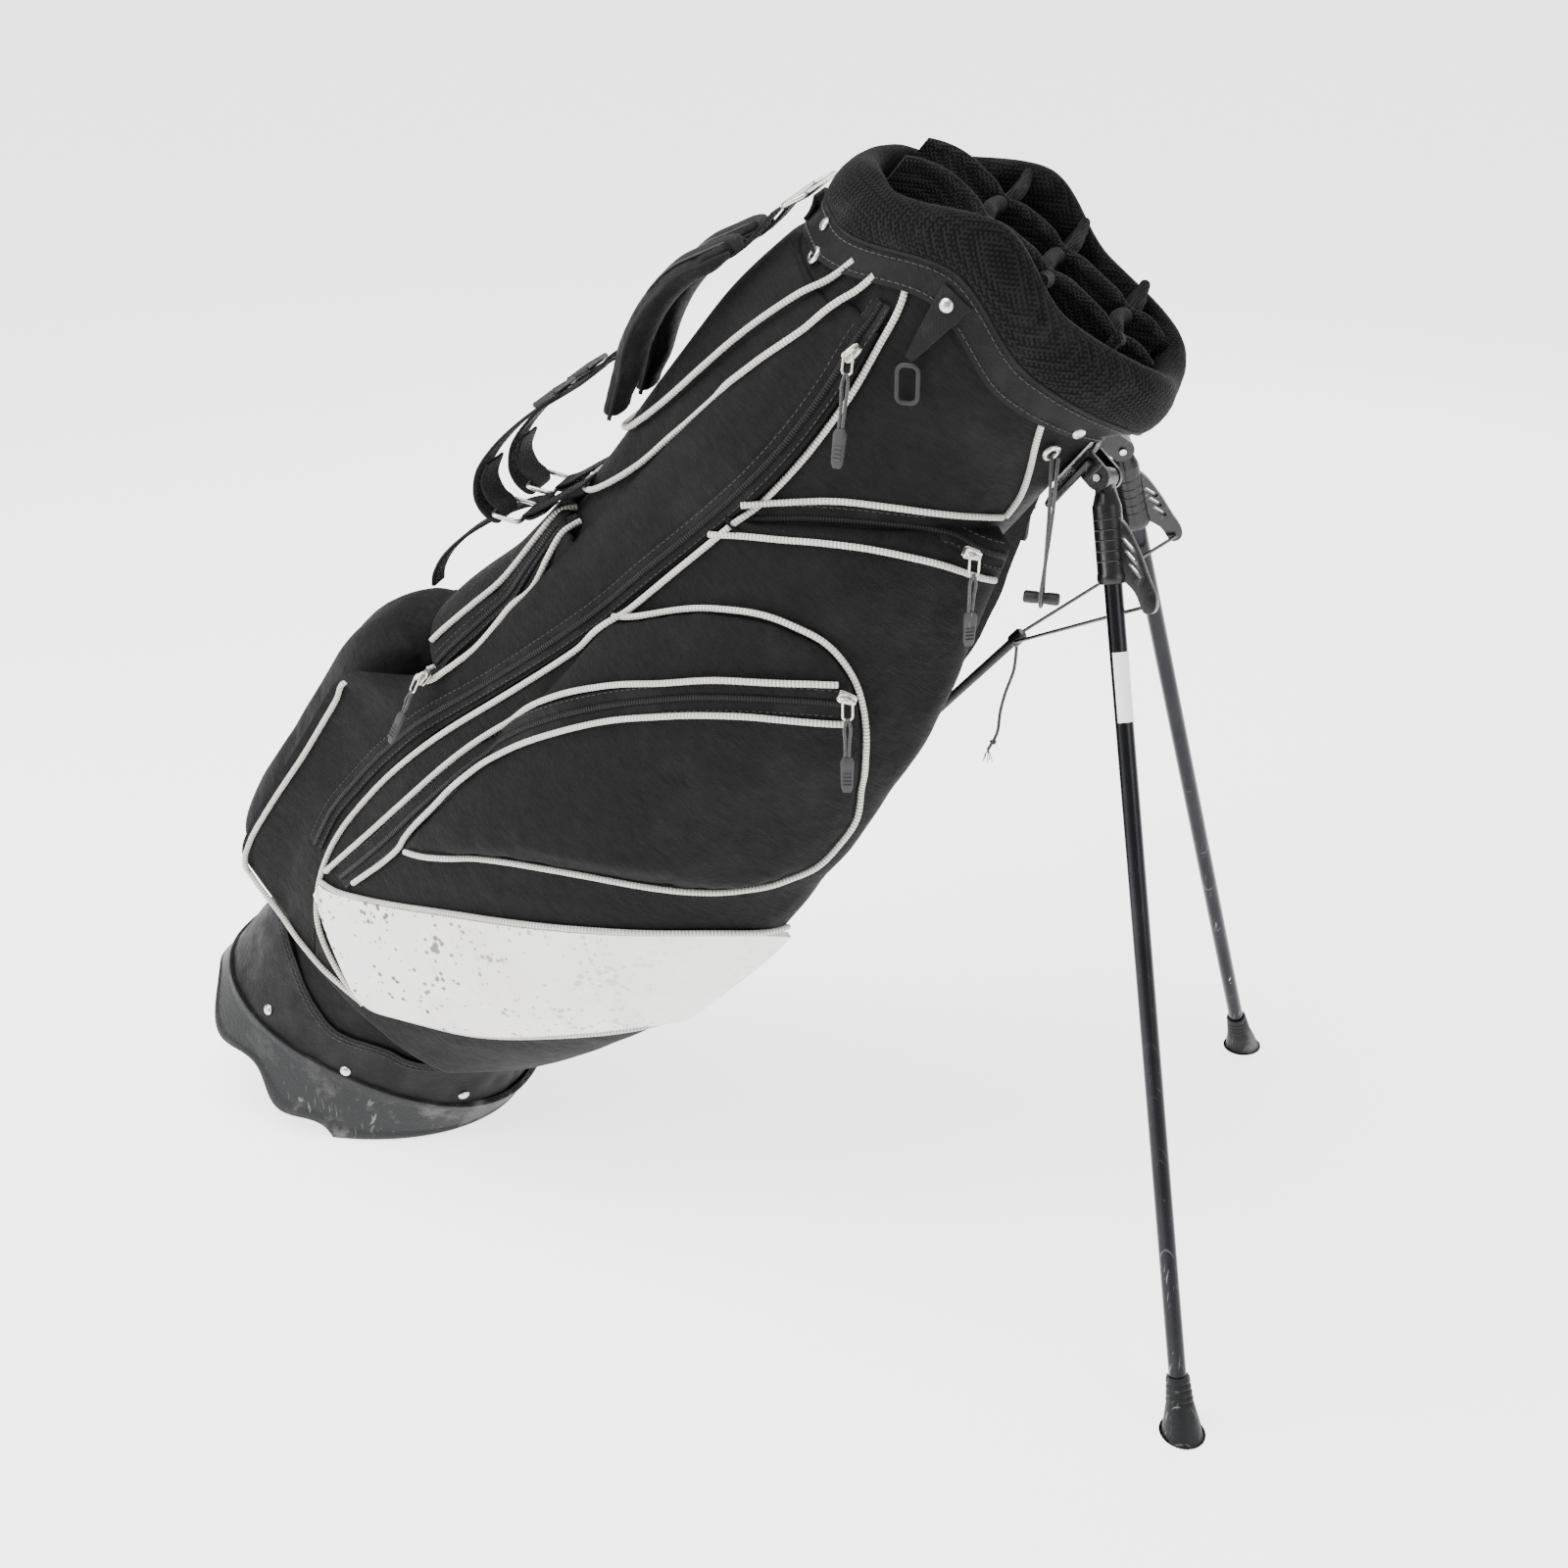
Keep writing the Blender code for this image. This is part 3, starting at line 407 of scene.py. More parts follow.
APEX = (0.712, 0.166)
TAIL = ((0, 0, 0), (-0.001, -0.001, -0.018), (-0.006, -0.002, -0.036), (-0.009, -0.003, -0.052),
        (-0.010, -0.006, -0.068), (-0.016, -0.008, -0.082))
tail_top = at(*APEX, 0) + DOWN * 0.0075
tail_line = catmull([tail_top + Vector(step) for step in TAIL], 6)
TAIL_R = 0.0012
release_tail = tube("release_pull_cord", swept(tail_line, round_shape(TAIL_R, 10)), elastic, "release",
                    nodes=("release_tail",))
strands = []
for turn in range(5):
    fan = Vector((math.cos(turn * 1.25), math.sin(turn * 1.25), -1.6 - 0.3 * (turn % 3))).normalized()
    line = catmull([tail_line[-1], tail_line[-1] + fan * 0.004, tail_line[-1] + fan * 0.007 + DOWN * 0.003], 4)
    strands.append(tube_parts(swept(line, round_shape(0.00035, 6))))
knot_line = [tail_line[-4] + Vector((math.cos(a) * 0.0016, math.sin(a) * 0.0016, 0.0009 * math.sin(2 * a)))
             for a in np.linspace(0, math.tau, 16, endpoint=False)]
strands.append(tube_parts(swept(knot_line, round_shape(0.0010, 8), closed_path=True), loop=True))
frayed_end = gather("release_cord_knot", strands, elastic, "release")

toggle_black, tree, shader = paint("toggle_plastic", 0.42, specular=0.25)
places = places_of(tree)
mottle = speckle(tree, places, 900.0, 3.0)
finish_skin(tree, shader, blend_colour(tree, mottle, shade(0.012), shade(0.022)),
            span(tree, speckle(tree, places, 160.0), 0.3, 0.7, 0.34, 0.55), mottle, 0.00006)


def turned_rings(start, axis, profile, sides=28):
    """Rings of a turned shape: profile gives (along, radius)."""
    e = axis.orthogonal().normalized()
    f = axis.cross(e).normalized()
    circle = [math.tau * k / sides for k in range(sides)]
    return [[start + axis * z + (e * math.cos(a) + f * math.sin(a)) * r for a in circle] for z, r in profile]


toggle_profile = [(-TOGGLE_HALF, 0.0016), (-TOGGLE_HALF + 0.0002, 0.0034), (-TOGGLE_HALF + 0.0009, 0.0042)]
for z in np.linspace(-0.0105, 0.0105, 22):
    toggle_profile.append((z, TOGGLE_R - 0.00035 * (abs(z) < 0.0035) - 0.00025 * (round((z + 0.0105) / 0.001) % 2)))
toggle_profile += [(TOGGLE_HALF - 0.0009, 0.0042), (TOGGLE_HALF - 0.0002, 0.0034), (TOGGLE_HALF, 0.0016)]
toggle = tube("umbrella_loop_toggle", turned_rings(toggle_centre, Vector((1, 0, 0)), toggle_profile), toggle_black,
              nodes=("umbrella_toggle",))


# Body of the bag: a tube of coated woven nylon over two stays, sewn to the base below and the collar
# above. It shows as the padded spine panel, as the belly strip behind the legs, and inside the mouth.
# weave: crossed threads, from the height up the bag and the way round it
weave, ends_in, ends_out = effect("weave", {"Thread": 0.0009}, ("Height", "Tone"))
turned_up = node(weave, "Mapping", None, Vector=places_of(weave), Rotation=(0.0, -LEAN, 0.0))
parted = node(weave, "SeparateXYZ", None, Vector=turned_up.outputs["Vector"])
BAG_ROUND = 0.13
MIDDLE_X = BASE.x * COS - BASE.z * SIN
round_way = maths(weave, "MULTIPLY", maths(weave, "ARCTAN2", parted.outputs["Y"],
                                           maths(weave, "SUBTRACT", parted.outputs["X"], MIDDLE_X)), BAG_ROUND)
turns = maths(weave, "DIVIDE", math.pi, ends_in.outputs["Thread"])
warp = maths(weave, "SINE", maths(weave, "MULTIPLY", parted.outputs["Z"], turns))
weft = maths(weave, "SINE", maths(weave, "MULTIPLY", round_way, turns))
over = maths(weave, "MULTIPLY", warp, weft)
slub = speckle(weave, node(weave, "Mapping", None, Vector=turned_up.outputs["Vector"],
                           Scale=(90.0, 90.0, 900.0)).outputs["Vector"], 1.0, 3.0)
relief = maths(weave, "MULTIPLY_ADD", slub, 0.6, maths(weave, "MULTIPLY", over, 0.5))
weave.links.new(relief, ends_out.inputs["Height"])
weave.links.new(slub, ends_out.inputs["Tone"])

# dust: pale lint and rubbed patches that gather unevenly
dust, ends_in, ends_out = effect("dust", {"Amount": 0.3, "Scale": 18.0}, ("Mask",))
places = places_of(dust)
broad = node(dust, "TexNoise", None, Vector=places, Scale=ends_in.outputs["Scale"], Detail=6.0, Roughness=0.65)
specks = node(dust, "TexVoronoi", None, Vector=places, Scale=210.0)
dots = span(dust, specks.outputs["Distance"], 0.0, 0.10, 1.0, 0.0)
sparse = maths(dust, "MULTIPLY", dots, span(dust, speckle(dust, places, 37.0), 0.56, 0.66, 0.0, 1.0))
patches = span(dust, broad.outputs["Fac"], 0.50, 0.78, 0.0, 1.0)
total = maths(dust, "ADD", maths(dust, "MULTIPLY", sparse, 0.9), patches)
dust.links.new(maths(dust, "MULTIPLY", total, ends_in.outputs["Amount"]), ends_out.inputs["Mask"])


def cloth_look(name, dark, pale, lint, sheen, thread=0.0009):
    """Woven nylon: fine crossed threads, a soft sheen at glancing angles and a little lint."""
    look, tree, shader = paint(name, 0.80, sheen=sheen, specular=0.16)
    shader.inputs["Sheen Roughness"].default_value = 0.45
    woven = use(tree, weave, Thread=thread)
    base = blend_colour(tree, woven.outputs["Tone"], shade(dark), shade(pale, 1.02))
    lint_mask = use(tree, dust, Amount=lint, Scale=16.0).outputs["Mask"]
    crease = speckle(tree, places_of(tree), 42.0, 5.0, 0.6)
    both = maths(tree, "MULTIPLY_ADD", crease, 5.0, maths(tree, "MULTIPLY", woven.outputs["Height"], 0.35))
    finish_skin(tree, shader, blend_colour(tree, lint_mask, base, (0.22, 0.21, 0.20, 1)),
                span(tree, woven.outputs["Tone"], 0.3, 0.7, 0.66, 0.86), both, 0.0006)
    return look


black_cloth = cloth_look("black_nylon", 0.0008, 0.0022, 0.03, 0.015)

BAND_DEPTH = 0.026
CUFF_HEIGHT = 0.040
CUFF_IN = 0.013
FABRIC = 0.003


def cuff_edge(phi):
    """Height of the cuff's lower edge."""
    return smooth(near_phi(phi), ((0, 0.868), (25, 0.874), (72, 0.915), (112, 0.897), (150, 0.900), (180, 0.892)))


def floor_u(w):
    """Height at which the ground meets the bag's axis lines."""
    return (w - CHAMFER_START) * math.tan(LEAN)


def cup_edge(phi):
    """Height of the rubber foot's upper edge."""
    return 0.016 + (0.14 - 0.135 * math.cos(math.radians(phi))) * 0.29


def band_edge(phi):
    """Height of the base band's upper edge."""
    return smooth(near_phi(phi), ((0, 0.120), (30, 0.112), (75, 0.090), (105, 0.112), (150, 0.150), (180, 0.150)))


def shell_low(phi):
    """Height of the tube's lower edge, which follows the slanted base."""
    return max(0.0, floor_u(-body_r(0.0, phi) * math.cos(math.radians(phi))) + 0.009)


def ring_wall(name, heights, inner, outer, look, nodes=(), around=128, sharp=50):
    """Thin wall round the bag: heights(phi) gives its rows, inner and outer its faces' radii at (u, phi)."""
    rings = []
    for k in range(around):
        phi = 360 * k / around
        rows = heights(phi)
        rings.append([polar(u, phi, inner(u, phi)) for u in rows]
                     + [polar(u, phi, outer(u, phi)) for u in reversed(rows)])
    return tube(name, rings, look, nodes=nodes, loop=True, sharp=sharp)


def soft_fold(u, phi, long=9.0, across=3.2, seed=0.0):
    """Shallow folds of hanging cloth, from -1 to 1: long ones down the bag with smaller ones between."""
    a = math.radians(phi)
    first = noise.noise(Vector((u * long, math.cos(a) * across, math.sin(a) * across + seed)))
    return first + 0.4 * noise.noise(Vector((u * long * 2.3, math.cos(a) * across * 2.6, math.sin(a) * 8.0 + seed)))


def shell_outer(u, phi):
    """Outer face of the tube: drawn in a little between its stays, with slack folds low down."""
    slack = 0.0022 * soft_fold(u, phi, 11.0, 4.0, 3.0) * min(1.0, max(0.0, (0.86 - u) / 0.1))
    return body_r(u, phi) + min(slack, 0.0012)


ring_wall("body_shell", lambda phi: list(np.linspace(shell_low(phi), cuff_edge(phi) - 0.001, 90)),
          lambda u, phi: shell_outer(u, phi) - FABRIC, shell_outer, black_cloth, ("bag_shell",), 144)

# Spine panel: a padded oval of cloth between the shoulder straps and the garment pockets, with a
# second narrower one on it, each edged with white piping
SPINE_OUTER = ((0.585, 0.0), (0.592, 14.0), (0.616, 24.0), (0.660, 31.5), (0.742, 38.0), (0.819, 44.6), (0.874, 48.5))
SPINE_INNER = ((0.640, 0.0), (0.646, 10.0), (0.664, 18.0), (0.700, 24.0), (0.743, 28.0), (0.804, 33.0), (0.870, 40.0))


def half_width(knots, u):
    """Half the angle that a panel spans at a height."""
    return float(np.interp(u, [k[0] for k in knots], [k[1] for k in knots]))


def slab_parts(place, inner, outer, wide, tall):
    """Points and faces of a closed soft slab: place(t, s) gives (u, phi) over the unit square."""
    shares = [(t, s) for t in wide for s in tall]
    rows = len(tall)
    points = []
    for face in (inner, outer):
        for t, s in shares:
            u, phi = place(t, s)
            points.append(polar(u, phi, face(u, phi, t, s)))
    half = len(shares)
    faces = []
    for j in range(len(wide) - 1):
        for i in range(rows - 1):
            a, b = j * rows + i, (j + 1) * rows + i
            faces.append((a, b, b + 1, a + 1))
            faces.append((half + a, half + a + 1, half + b + 1, half + b))
        for i in (0, rows - 1):
            a, b = j * rows + i, (j + 1) * rows + i
            faces.append((a, b, half + b, half + a))
    for j in (0, len(wide) - 1):
        for i in range(rows - 1):
            a = j * rows + i
            faces.append((a, a + 1, half + a + 1, half + a))
    return points, faces


def eased(count, ease=0.7):
    """Shares from 0 to 1, closer together at both ends where a slab rolls over."""
    flat = np.linspace(0, 1, count)
    return list(flat * (1 - ease) + ease * (0.5 - 0.5 * np.cos(np.pi * flat)))


def slab(name, place, inner, outer, look, wide, tall, nodes=(), sharp=60):
    """Soft slab on the bag."""
    points, faces = slab_parts(place, inner, outer, eased(wide), eased(tall))
    return keep(name, closed(name, points, faces), look, nodes=nodes, sharp=sharp)


def edge_round(share, power=4.0):
    """Roll-off of a soft slab towards its two ends: 1 in the middle, 0 at share 0 and 1."""
    return max(0.0, 1 - abs(2 * share - 1) ** power) ** (1 / power)


def spine_panel(name, knots, top, lift):
    """Padded panel on the spine, whose sides follow knots."""
    low = knots[0][0]

    def place(t, s):
        u = low + 0.002 + (top - low - 0.002) * s
        return u, half_width(knots, u) * (2 * t - 1)

    def face(u, phi, t, s):
        return body_r(u, phi) + 0.0006 + lift * edge_round(t, 5.0) * edge_round(s, 9.0) + 0.0006 * soft_fold(u, phi)
    return slab(name, place, lambda u, phi, t, s: body_r(u, phi) - 0.001, face, black_cloth, 49, 61)


spine_wide = spine_panel("spine_panel", SPINE_OUTER, 0.838, 0.0034)
spine_narrow = spine_panel("spine_cushion", SPINE_INNER, 0.836, 0.0062)


# Pockets on the sides. On each side a long garment pocket lies beside the spine, and a deep side
# pocket fills the rest as far as a wall at the belly; they meet at the main seam. All are nylon over
# thin foam, cut flat and sewn into welted seams, so their faces are full and crease at the seams.
MAIN_SEAM = ((0.12, 62), (0.16, 46), (0.20, 38), (0.27, 36), (0.36, 40), (0.465, 51), (0.56, 60), (0.63, 63),
             (0.70, 69), (0.78, 70), (0.86, 62), (0.89, 56))
GARMENT_BACK = ((0.12, 20.5), (0.385, 20.5), (0.402, 34.5), (0.60, 34.5), (0.74, 39), (0.86, 48))
SEAM_BULGE = ((0.10, 0.004), (0.22, 0.026), (0.38, 0.024), (0.55, 0.012), (0.72, 0.006), (0.86, 0.004))
SIDE_BULGE = ((0.125, 0.016), (0.24, 0.064), (0.33, 0.092), (0.45, 0.104), (0.58, 0.092), (0.66, 0.078),
              (0.72, 0.046), (0.79, 0.018))
BACK_BULGE = ((0.12, 0.020), (0.22, 0.048), (0.38, 0.046), (0.43, 0.022), (0.60, 0.012), (0.86, 0.004))
BALL_BULGE = ((0.065, 0.040), (0.13, 0.062), (0.26, 0.069), (0.35, 0.077), (0.40, 0.066))
SIDE_TOP = ((60, 0.690), (90, 0.735), (120, 0.770), (150, 0.790))
POCKET_WALL = 150.0


def rounded(x, knots):
    """Curve through (place, value) knots without corners: the straight runs averaged over a short stretch."""
    places, values = [k[0] for k in knots], [k[1] for k in knots]
    reach = 0.12 * (places[-1] - places[0]) / 2
    window = [x + reach * step for step in (-1, -0.6, -0.2, 0.2, 0.6, 1)]
    return float(np.mean(np.interp(window, places, values)))


def side_share(u, phi):
    """Share of the way from the main seam to the side pocket's belly wall."""
    seam = rounded(u, MAIN_SEAM)
    return min(1.0, max(0.0, (phi - seam) / (POCKET_WALL - seam)))


def side_face(u, phi):
    """Outer face of the side pocket: low at the main seam, deepest at its belly corner."""
    share = side_share(u, phi)
    depth = rounded(u, SEAM_BULGE) * (1 - share) + rounded(u, SIDE_BULGE) * share ** 1.5
    return body_r(u, phi) + 0.004 + depth


def drag_lines(u, share):
    """Creases of the side pocket's face: pulled from the belly corner towards the main seam, from -1 to 1."""
    slant = u * 15.0 - share * 3.4
    small = noise.noise(Vector((slant * 2.2, share * 3.0, 4.1)))
    return noise.noise(Vector((slant, share * 1.6, 0.7))) + 0.5 * small


def side_place(t, s):
    """Side pocket: from the main seam to its belly wall, from the base band up to its zip."""
    nominal = 58 + (POCKET_WALL - 58) * t
    low = max(band_edge(nominal), 0.125) + 0.002
    u = low + (rounded(nominal, SIDE_TOP) - low) * s
    seam = rounded(u, MAIN_SEAM) + 0.6
    return u, seam + (POCKET_WALL - seam) * t


def side_outer(u, phi, t, s):
    """Side pocket's face, rolled off at its top, bottom and belly corner, with its creases."""
    r = body_r(u, phi) + 0.003
    corner = 1 - 0.10 * max(0.0, (t - 0.93) / 0.07) ** 2
    full = (side_face(u, phi) - r) * edge_round(s, 8.0) * corner
    ease = min(1.0, 6 * t) * edge_round(s, 3.0) * min(1.0, 0.25 + t)
    return r + full + 0.0034 * drag_lines(u, t) * ease


def garment_place(t, s):
    """Garment pocket: from beside the spine pockets to the main seam, nearly the bag's full length."""
    u = 0.128 + (0.850 - 0.128) * s
    back, seam = rounded(u, GARMENT_BACK), rounded(u, MAIN_SEAM) - 0.6
    return u, back + (seam - back) * t


def garment_outer(u, phi, t, s):
    """Garment pocket's face: as deep as the main seam, fuller towards the spine, and slightly hollow between."""
    depth = rounded(u, SEAM_BULGE) * t + rounded(u, BACK_BULGE) * (1 - t)
    fold = 0.0022 * soft_fold(u, phi, 10.0, 5.0, 1.7) * edge_round(t, 3.0)
    gusset = max(0.0, rounded(u, BALL_BULGE) - rounded(u, BACK_BULGE)) * max(0.0, 1 - t / 0.45) ** 1.6
    gusset *= 0.93 * min(1.0, max(0.0, (0.400 - u) / 0.03))
    return body_r(u, phi) + 0.003 + (depth + gusset) * edge_round(s, 10.0) - 0.0018 * edge_round(t, 2.5) + fold


def wall_under(u, phi, t, s):
    """Inner face of a pocket that lies on the tube."""
    return body_r(u, phi) + 0.0012


def mirrored(side, place):
    """A near side's place taken to the far side where side is -1."""
    if side > 0:
        return place

    def far(t, s):
        u, phi = place(t, s)
        return u, 360 - phi
    return far


def on_side(side, face):
    """A near side's face radius taken to the far side where side is -1."""
    return face if side > 0 else (lambda u, phi, t, s: face(u, 360 - phi, t, s))


SIDES = (("near", 1), ("far", -1))
pocket_skins = [spine_wide, spine_narrow]
for word, side in SIDES:
    for kind, place, face, wide, tall in (("side", side_place, side_outer, 97, 97),
                                          ("garment", garment_place, garment_outer, 33, 121)):
        pocket_skins.append(slab(f"{kind}_pocket_{word}_skin", mirrored(side, place), on_side(side, wall_under),
                                 on_side(side, face), black_cloth, wide, tall, (f"{kind}_pocket_{word}",)))

# Low on the spine: the ball pocket with its full round face, and above it the flatter pocket for
# small things. Both are foam-backed nylon gussets, blown up a little here as the filled cloth would be.
SPINE_BULGE = ((0.41, 0.036), (0.45, 0.026), (0.50, 0.012), (0.57, 0.006))
BALL_PHI = 19.0
SPINE_PHI = 33.0
D_TOP = ((60, 0.565), (77, 0.622), (96, 0.661), (114, 0.677), (128, 0.663), (138, 0.615), (142, 0.565))
D_LOW = ((60, 0.300), (83, 0.367), (104, 0.420), (126, 0.468), (138, 0.503), (142, 0.545))


def plump(piece, voxel, pressure, cap, steps=20):
    """Fills a closed soft piece like sewn cloth: remeshed, pressed out by simulation, and no point moved far."""
    mesh = piece.data
    look = mesh.materials[0]
    scene = bpy.context.scene
    work = bpy.data.objects.new(piece.name + "_work", mesh.copy())
    scene.collection.objects.link(work)
    remesh = work.modifiers.new("remesh", "REMESH")
    remesh.mode = "VOXEL"
    remesh.voxel_size = voxel
    bpy.context.view_layer.update()
    fine = bpy.data.meshes.new_from_object(work.evaluated_get(bpy.context.evaluated_depsgraph_get()))
    work.modifiers.clear()
    work.data = fine
    start = np.array([v.co for v in fine.vertices])
    cloth = work.modifiers.new("cloth", "CLOTH")
    cloth.settings.quality = 5
    cloth.settings.mass = 0.2
    cloth.settings.tension_stiffness = 30
    cloth.settings.compression_stiffness = 8
    cloth.settings.bending_stiffness = 0.35
    cloth.settings.use_pressure = True
    cloth.settings.uniform_pressure_force = pressure
    cloth.settings.effector_weights.gravity = 0.0
    cloth.collision_settings.use_collision = False
    cloth.collision_settings.use_self_collision = False
    cloth.point_cache.frame_start = 1
    cloth.point_cache.frame_end = steps
    for step in range(1, steps + 1):
        scene.frame_set(step)
    pressed = work.evaluated_get(bpy.context.evaluated_depsgraph_get()).to_mesh()
    end = np.array([v.co for v in pressed.vertices])
    work.modifiers.clear()
    scene.frame_set(1)
    move = end - start
    far = np.linalg.norm(move, axis=1, keepdims=True)
    start += move * np.minimum(1.0, cap / np.maximum(far, 1e-9))
    bm = bmesh.new()
    bm.from_mesh(fine)
    for vert, place in zip(bm.verts, start):
        vert.co = place
    bmesh.ops.smooth_vert(bm, verts=bm.verts, factor=0.5, use_axis_x=True, use_axis_y=True, use_axis_z=True)
    bmesh.ops.subdivide_edges(bm, edges=bm.edges, cuts=1, use_grid_fill=True, smooth=1.0)
    swollen = bpy.data.meshes.new(piece.name + "_cloth")
    bm.to_mesh(swollen)
    bm.free()
    swollen.materials.append(look)
    swollen.shade_smooth()
    piece.data = swollen
    bpy.data.objects.remove(work, do_unlink=True)


def ball_face(u, phi, t, s):
    """Ball pocket's face: full in the middle, drawn in at its piped sides."""
    depth = rounded(u, BALL_BULGE) * edge_round(t, 4.5) * edge_round(s, 7.0)
    return body_r(u, phi) + 0.003 + depth + 0.0016 * soft_fold(u, phi, 12.0, 9.0, 6.0) * edge_round(t, 3.0)


def spine_face(u, phi, t, s):
    """Upper spine pocket's face: it thins out towards the handle."""
    depth = rounded(u, SPINE_BULGE) * edge_round(t, 5.0) * edge_round(s, 7.0)
    return body_r(u, phi) + 0.003 + depth + 0.0012 * soft_fold(u, phi, 14.0, 7.0, 2.0)


ball = slab("ball_pocket_skin", lambda t, s: (0.1295 + 0.2695 * s, BALL_PHI * (2 * t - 1)), wall_under,
            ball_face, black_cloth, 65, 81, ("ball_pocket",))
valuables = slab("spine_pocket_skin", lambda t, s: (0.4095 + 0.1645 * s, SPINE_PHI * (2 * t - 1)), wall_under,
                 spine_face, black_cloth, 73, 57, ("spine_pocket",))


def d_place(t, s):
    """D-shaped accessory pocket on the near side pocket's face."""
    phi = 60 + 82 * t
    low, high = rounded(phi, D_LOW), rounded(phi, D_TOP)
    return low + (high - low) * s, phi


accessory = slab("accessory_pocket_skin", d_place,
                 lambda u, phi, t, s: side_face(u, phi) - 0.004,
                 lambda u, phi, t, s: side_face(u, phi) + 0.0015
                 + 0.0085 * edge_round(s, 5.0) * edge_round(t, 5.0)
                 + 0.0022 * soft_fold(u, phi, 9.0, 3.4, 8.0) * edge_round(s, 2.5) * edge_round(t, 2.5),
                 black_cloth, 73, 61, ("d_pocket_near",))
for cushion, cap in ((ball, 0.004), (valuables, 0.003), (accessory, 0.003)):
    plump(cushion, 0.005, 3.0, cap)
    pocket_skins.append(cushion)

# White panel: smooth PVC-coated cloth round the foot of each side pocket, stitched down at its edges,
# yellowed and stained where the bag has stood in wet grass. It carries no lettering here.
PANEL_TOP = ((44, 0.197), (68, 0.256), (93, 0.324), (116, 0.392), (135, 0.445), (149, 0.465))
PANEL_LOW = ((44, 0.188), (81, 0.142), (117, 0.217), (139, 0.302), (149, 0.335))
PANEL_PHI = (44.0, 149.0)

# grain: small rounded pebbles pressed into vinyl and rubber
grain, ends_in, ends_out = effect("grain", {"Pebbles": 900.0}, ("Height",))
places = places_of(grain)
pebble = node(grain, "TexVoronoi", {"feature": "SMOOTH_F1"}, Vector=places,
              Scale=ends_in.outputs["Pebbles"])
soft = node(grain, "TexNoise", None, Vector=places, Scale=260.0, Detail=3.0)
grain.links.new(maths(grain, "MULTIPLY_ADD", pebble.outputs["Distance"], 0.8, soft.outputs["Fac"]),
                ends_out.inputs["Height"])

# scratches: fine broken lines that run one way through a patchwork of rubbed areas
scratches, ends_in, ends_out = effect("scratches", {"Amount": 0.5}, ("Mask",))
places = places_of(scratches)
total = None
for tilt, stretch in (((0.3, 0.2, 0.5), (700.0, 30.0, 60.0)), ((0.9, 0.7, 2.1), (40.0, 620.0, 50.0))):
    drawn = node(scratches, "Mapping", None, Vector=places, Rotation=tilt, Scale=stretch)
    line = span(scratches, speckle(scratches, drawn.outputs["Vector"], 1.0, 2.0), 0.66, 0.72, 0.0, 1.0)
    total = line if total is None else maths(scratches, "MAXIMUM", total, line)
area = span(scratches, speckle(scratches, places, 14.0, 3.0), 0.45, 0.60, 0.0, 1.0)
rubbed = maths(scratches, "MULTIPLY", maths(scratches, "MULTIPLY", total, area), ends_in.outputs["Amount"])
scratches.links.new(rubbed, ends_out.inputs["Mask"])

white_vinyl, tree, shader = paint("white_vinyl", 0.42, coat=0.12, coat_rough=0.3)
places = places_of(tree)
parted = node(tree, "SeparateXYZ", None, Vector=places)
low_end = span(tree, parted.outputs["X"], -0.19, 0.02, 1.0, 0.0)
near_ground = span(tree, parted.outputs["Z"], 0.08, 0.26, 1.0, 0.0)
mould = node(tree, "TexVoronoi", None, Vector=places, Scale=150.0)
spot_size = span(tree, speckle(tree, places, 26.0, 5.0, 0.7), 0.40, 0.66, 0.0, 0.55)
spots = span(tree, maths(tree, "SUBTRACT", spot_size, mould.outputs["Distance"]), -0.05, 0.10, 0.0, 1.0)
spot_mask = maths(tree, "MULTIPLY", spots, maths(tree, "MULTIPLY_ADD", low_end, 0.95, 0.15))
yellow = span(tree, speckle(tree, places, 12.0, 4.0), 0.35, 0.75, 0.0, 0.55)
smear = span(tree, speckle(tree, places, 9.0, 6.0, 0.7), 0.50, 0.70, 0.0, 0.7)
base = blend_colour(tree, yellow, (0.78, 0.78, 0.76, 1), (0.66, 0.62, 0.53, 1))
base = blend_colour(tree, maths(tree, "MULTIPLY", smear, near_ground), base, (0.30, 0.26, 0.18, 1))
base = blend_colour(tree, maths(tree, "MULTIPLY", spot_mask, 0.95), base, (0.11, 0.085, 0.05, 1))
base = blend_colour(tree, use(tree, scratches, Amount=0.4).outputs["Mask"], base, (0.34, 0.33, 0.31, 1))
relief = maths(tree, "MULTIPLY_ADD", speckle(tree, places, 30.0, 4.0), 6.0, use(tree, grain).outputs["Height"])
finish_skin(tree, shader, base, span(tree, smear, 0.0, 0.7, 0.36, 0.62), relief, 0.0004)


def flecked(name, rough, scale, low, high, detail=4.0, sheen=0.0):
    """Plain finish whose colour is flecked between two."""
    look, tree, shader = paint(name, rough, sheen=sheen)
    finish_skin(tree, shader, blend_colour(tree, speckle(tree, places_of(tree), scale, detail), low, high))
    return look


thread_white = flecked("white_thread", 0.7, 120.0, (0.50, 0.49, 0.46, 1), (0.72, 0.71, 0.68, 1), sheen=0.2)
thread_black = flecked("black_thread", 0.6, 120.0, shade(0.004), shade(0.014), sheen=0.2)


def panel_place(t, s):
    """White panel's face over the unit square."""
    phi = PANEL_PHI[0] + (PANEL_PHI[1] - PANEL_PHI[0]) * t
    low, high = rounded(phi, PANEL_LOW), rounded(phi, PANEL_TOP) - 0.003
    return low + (high - low) * s, phi


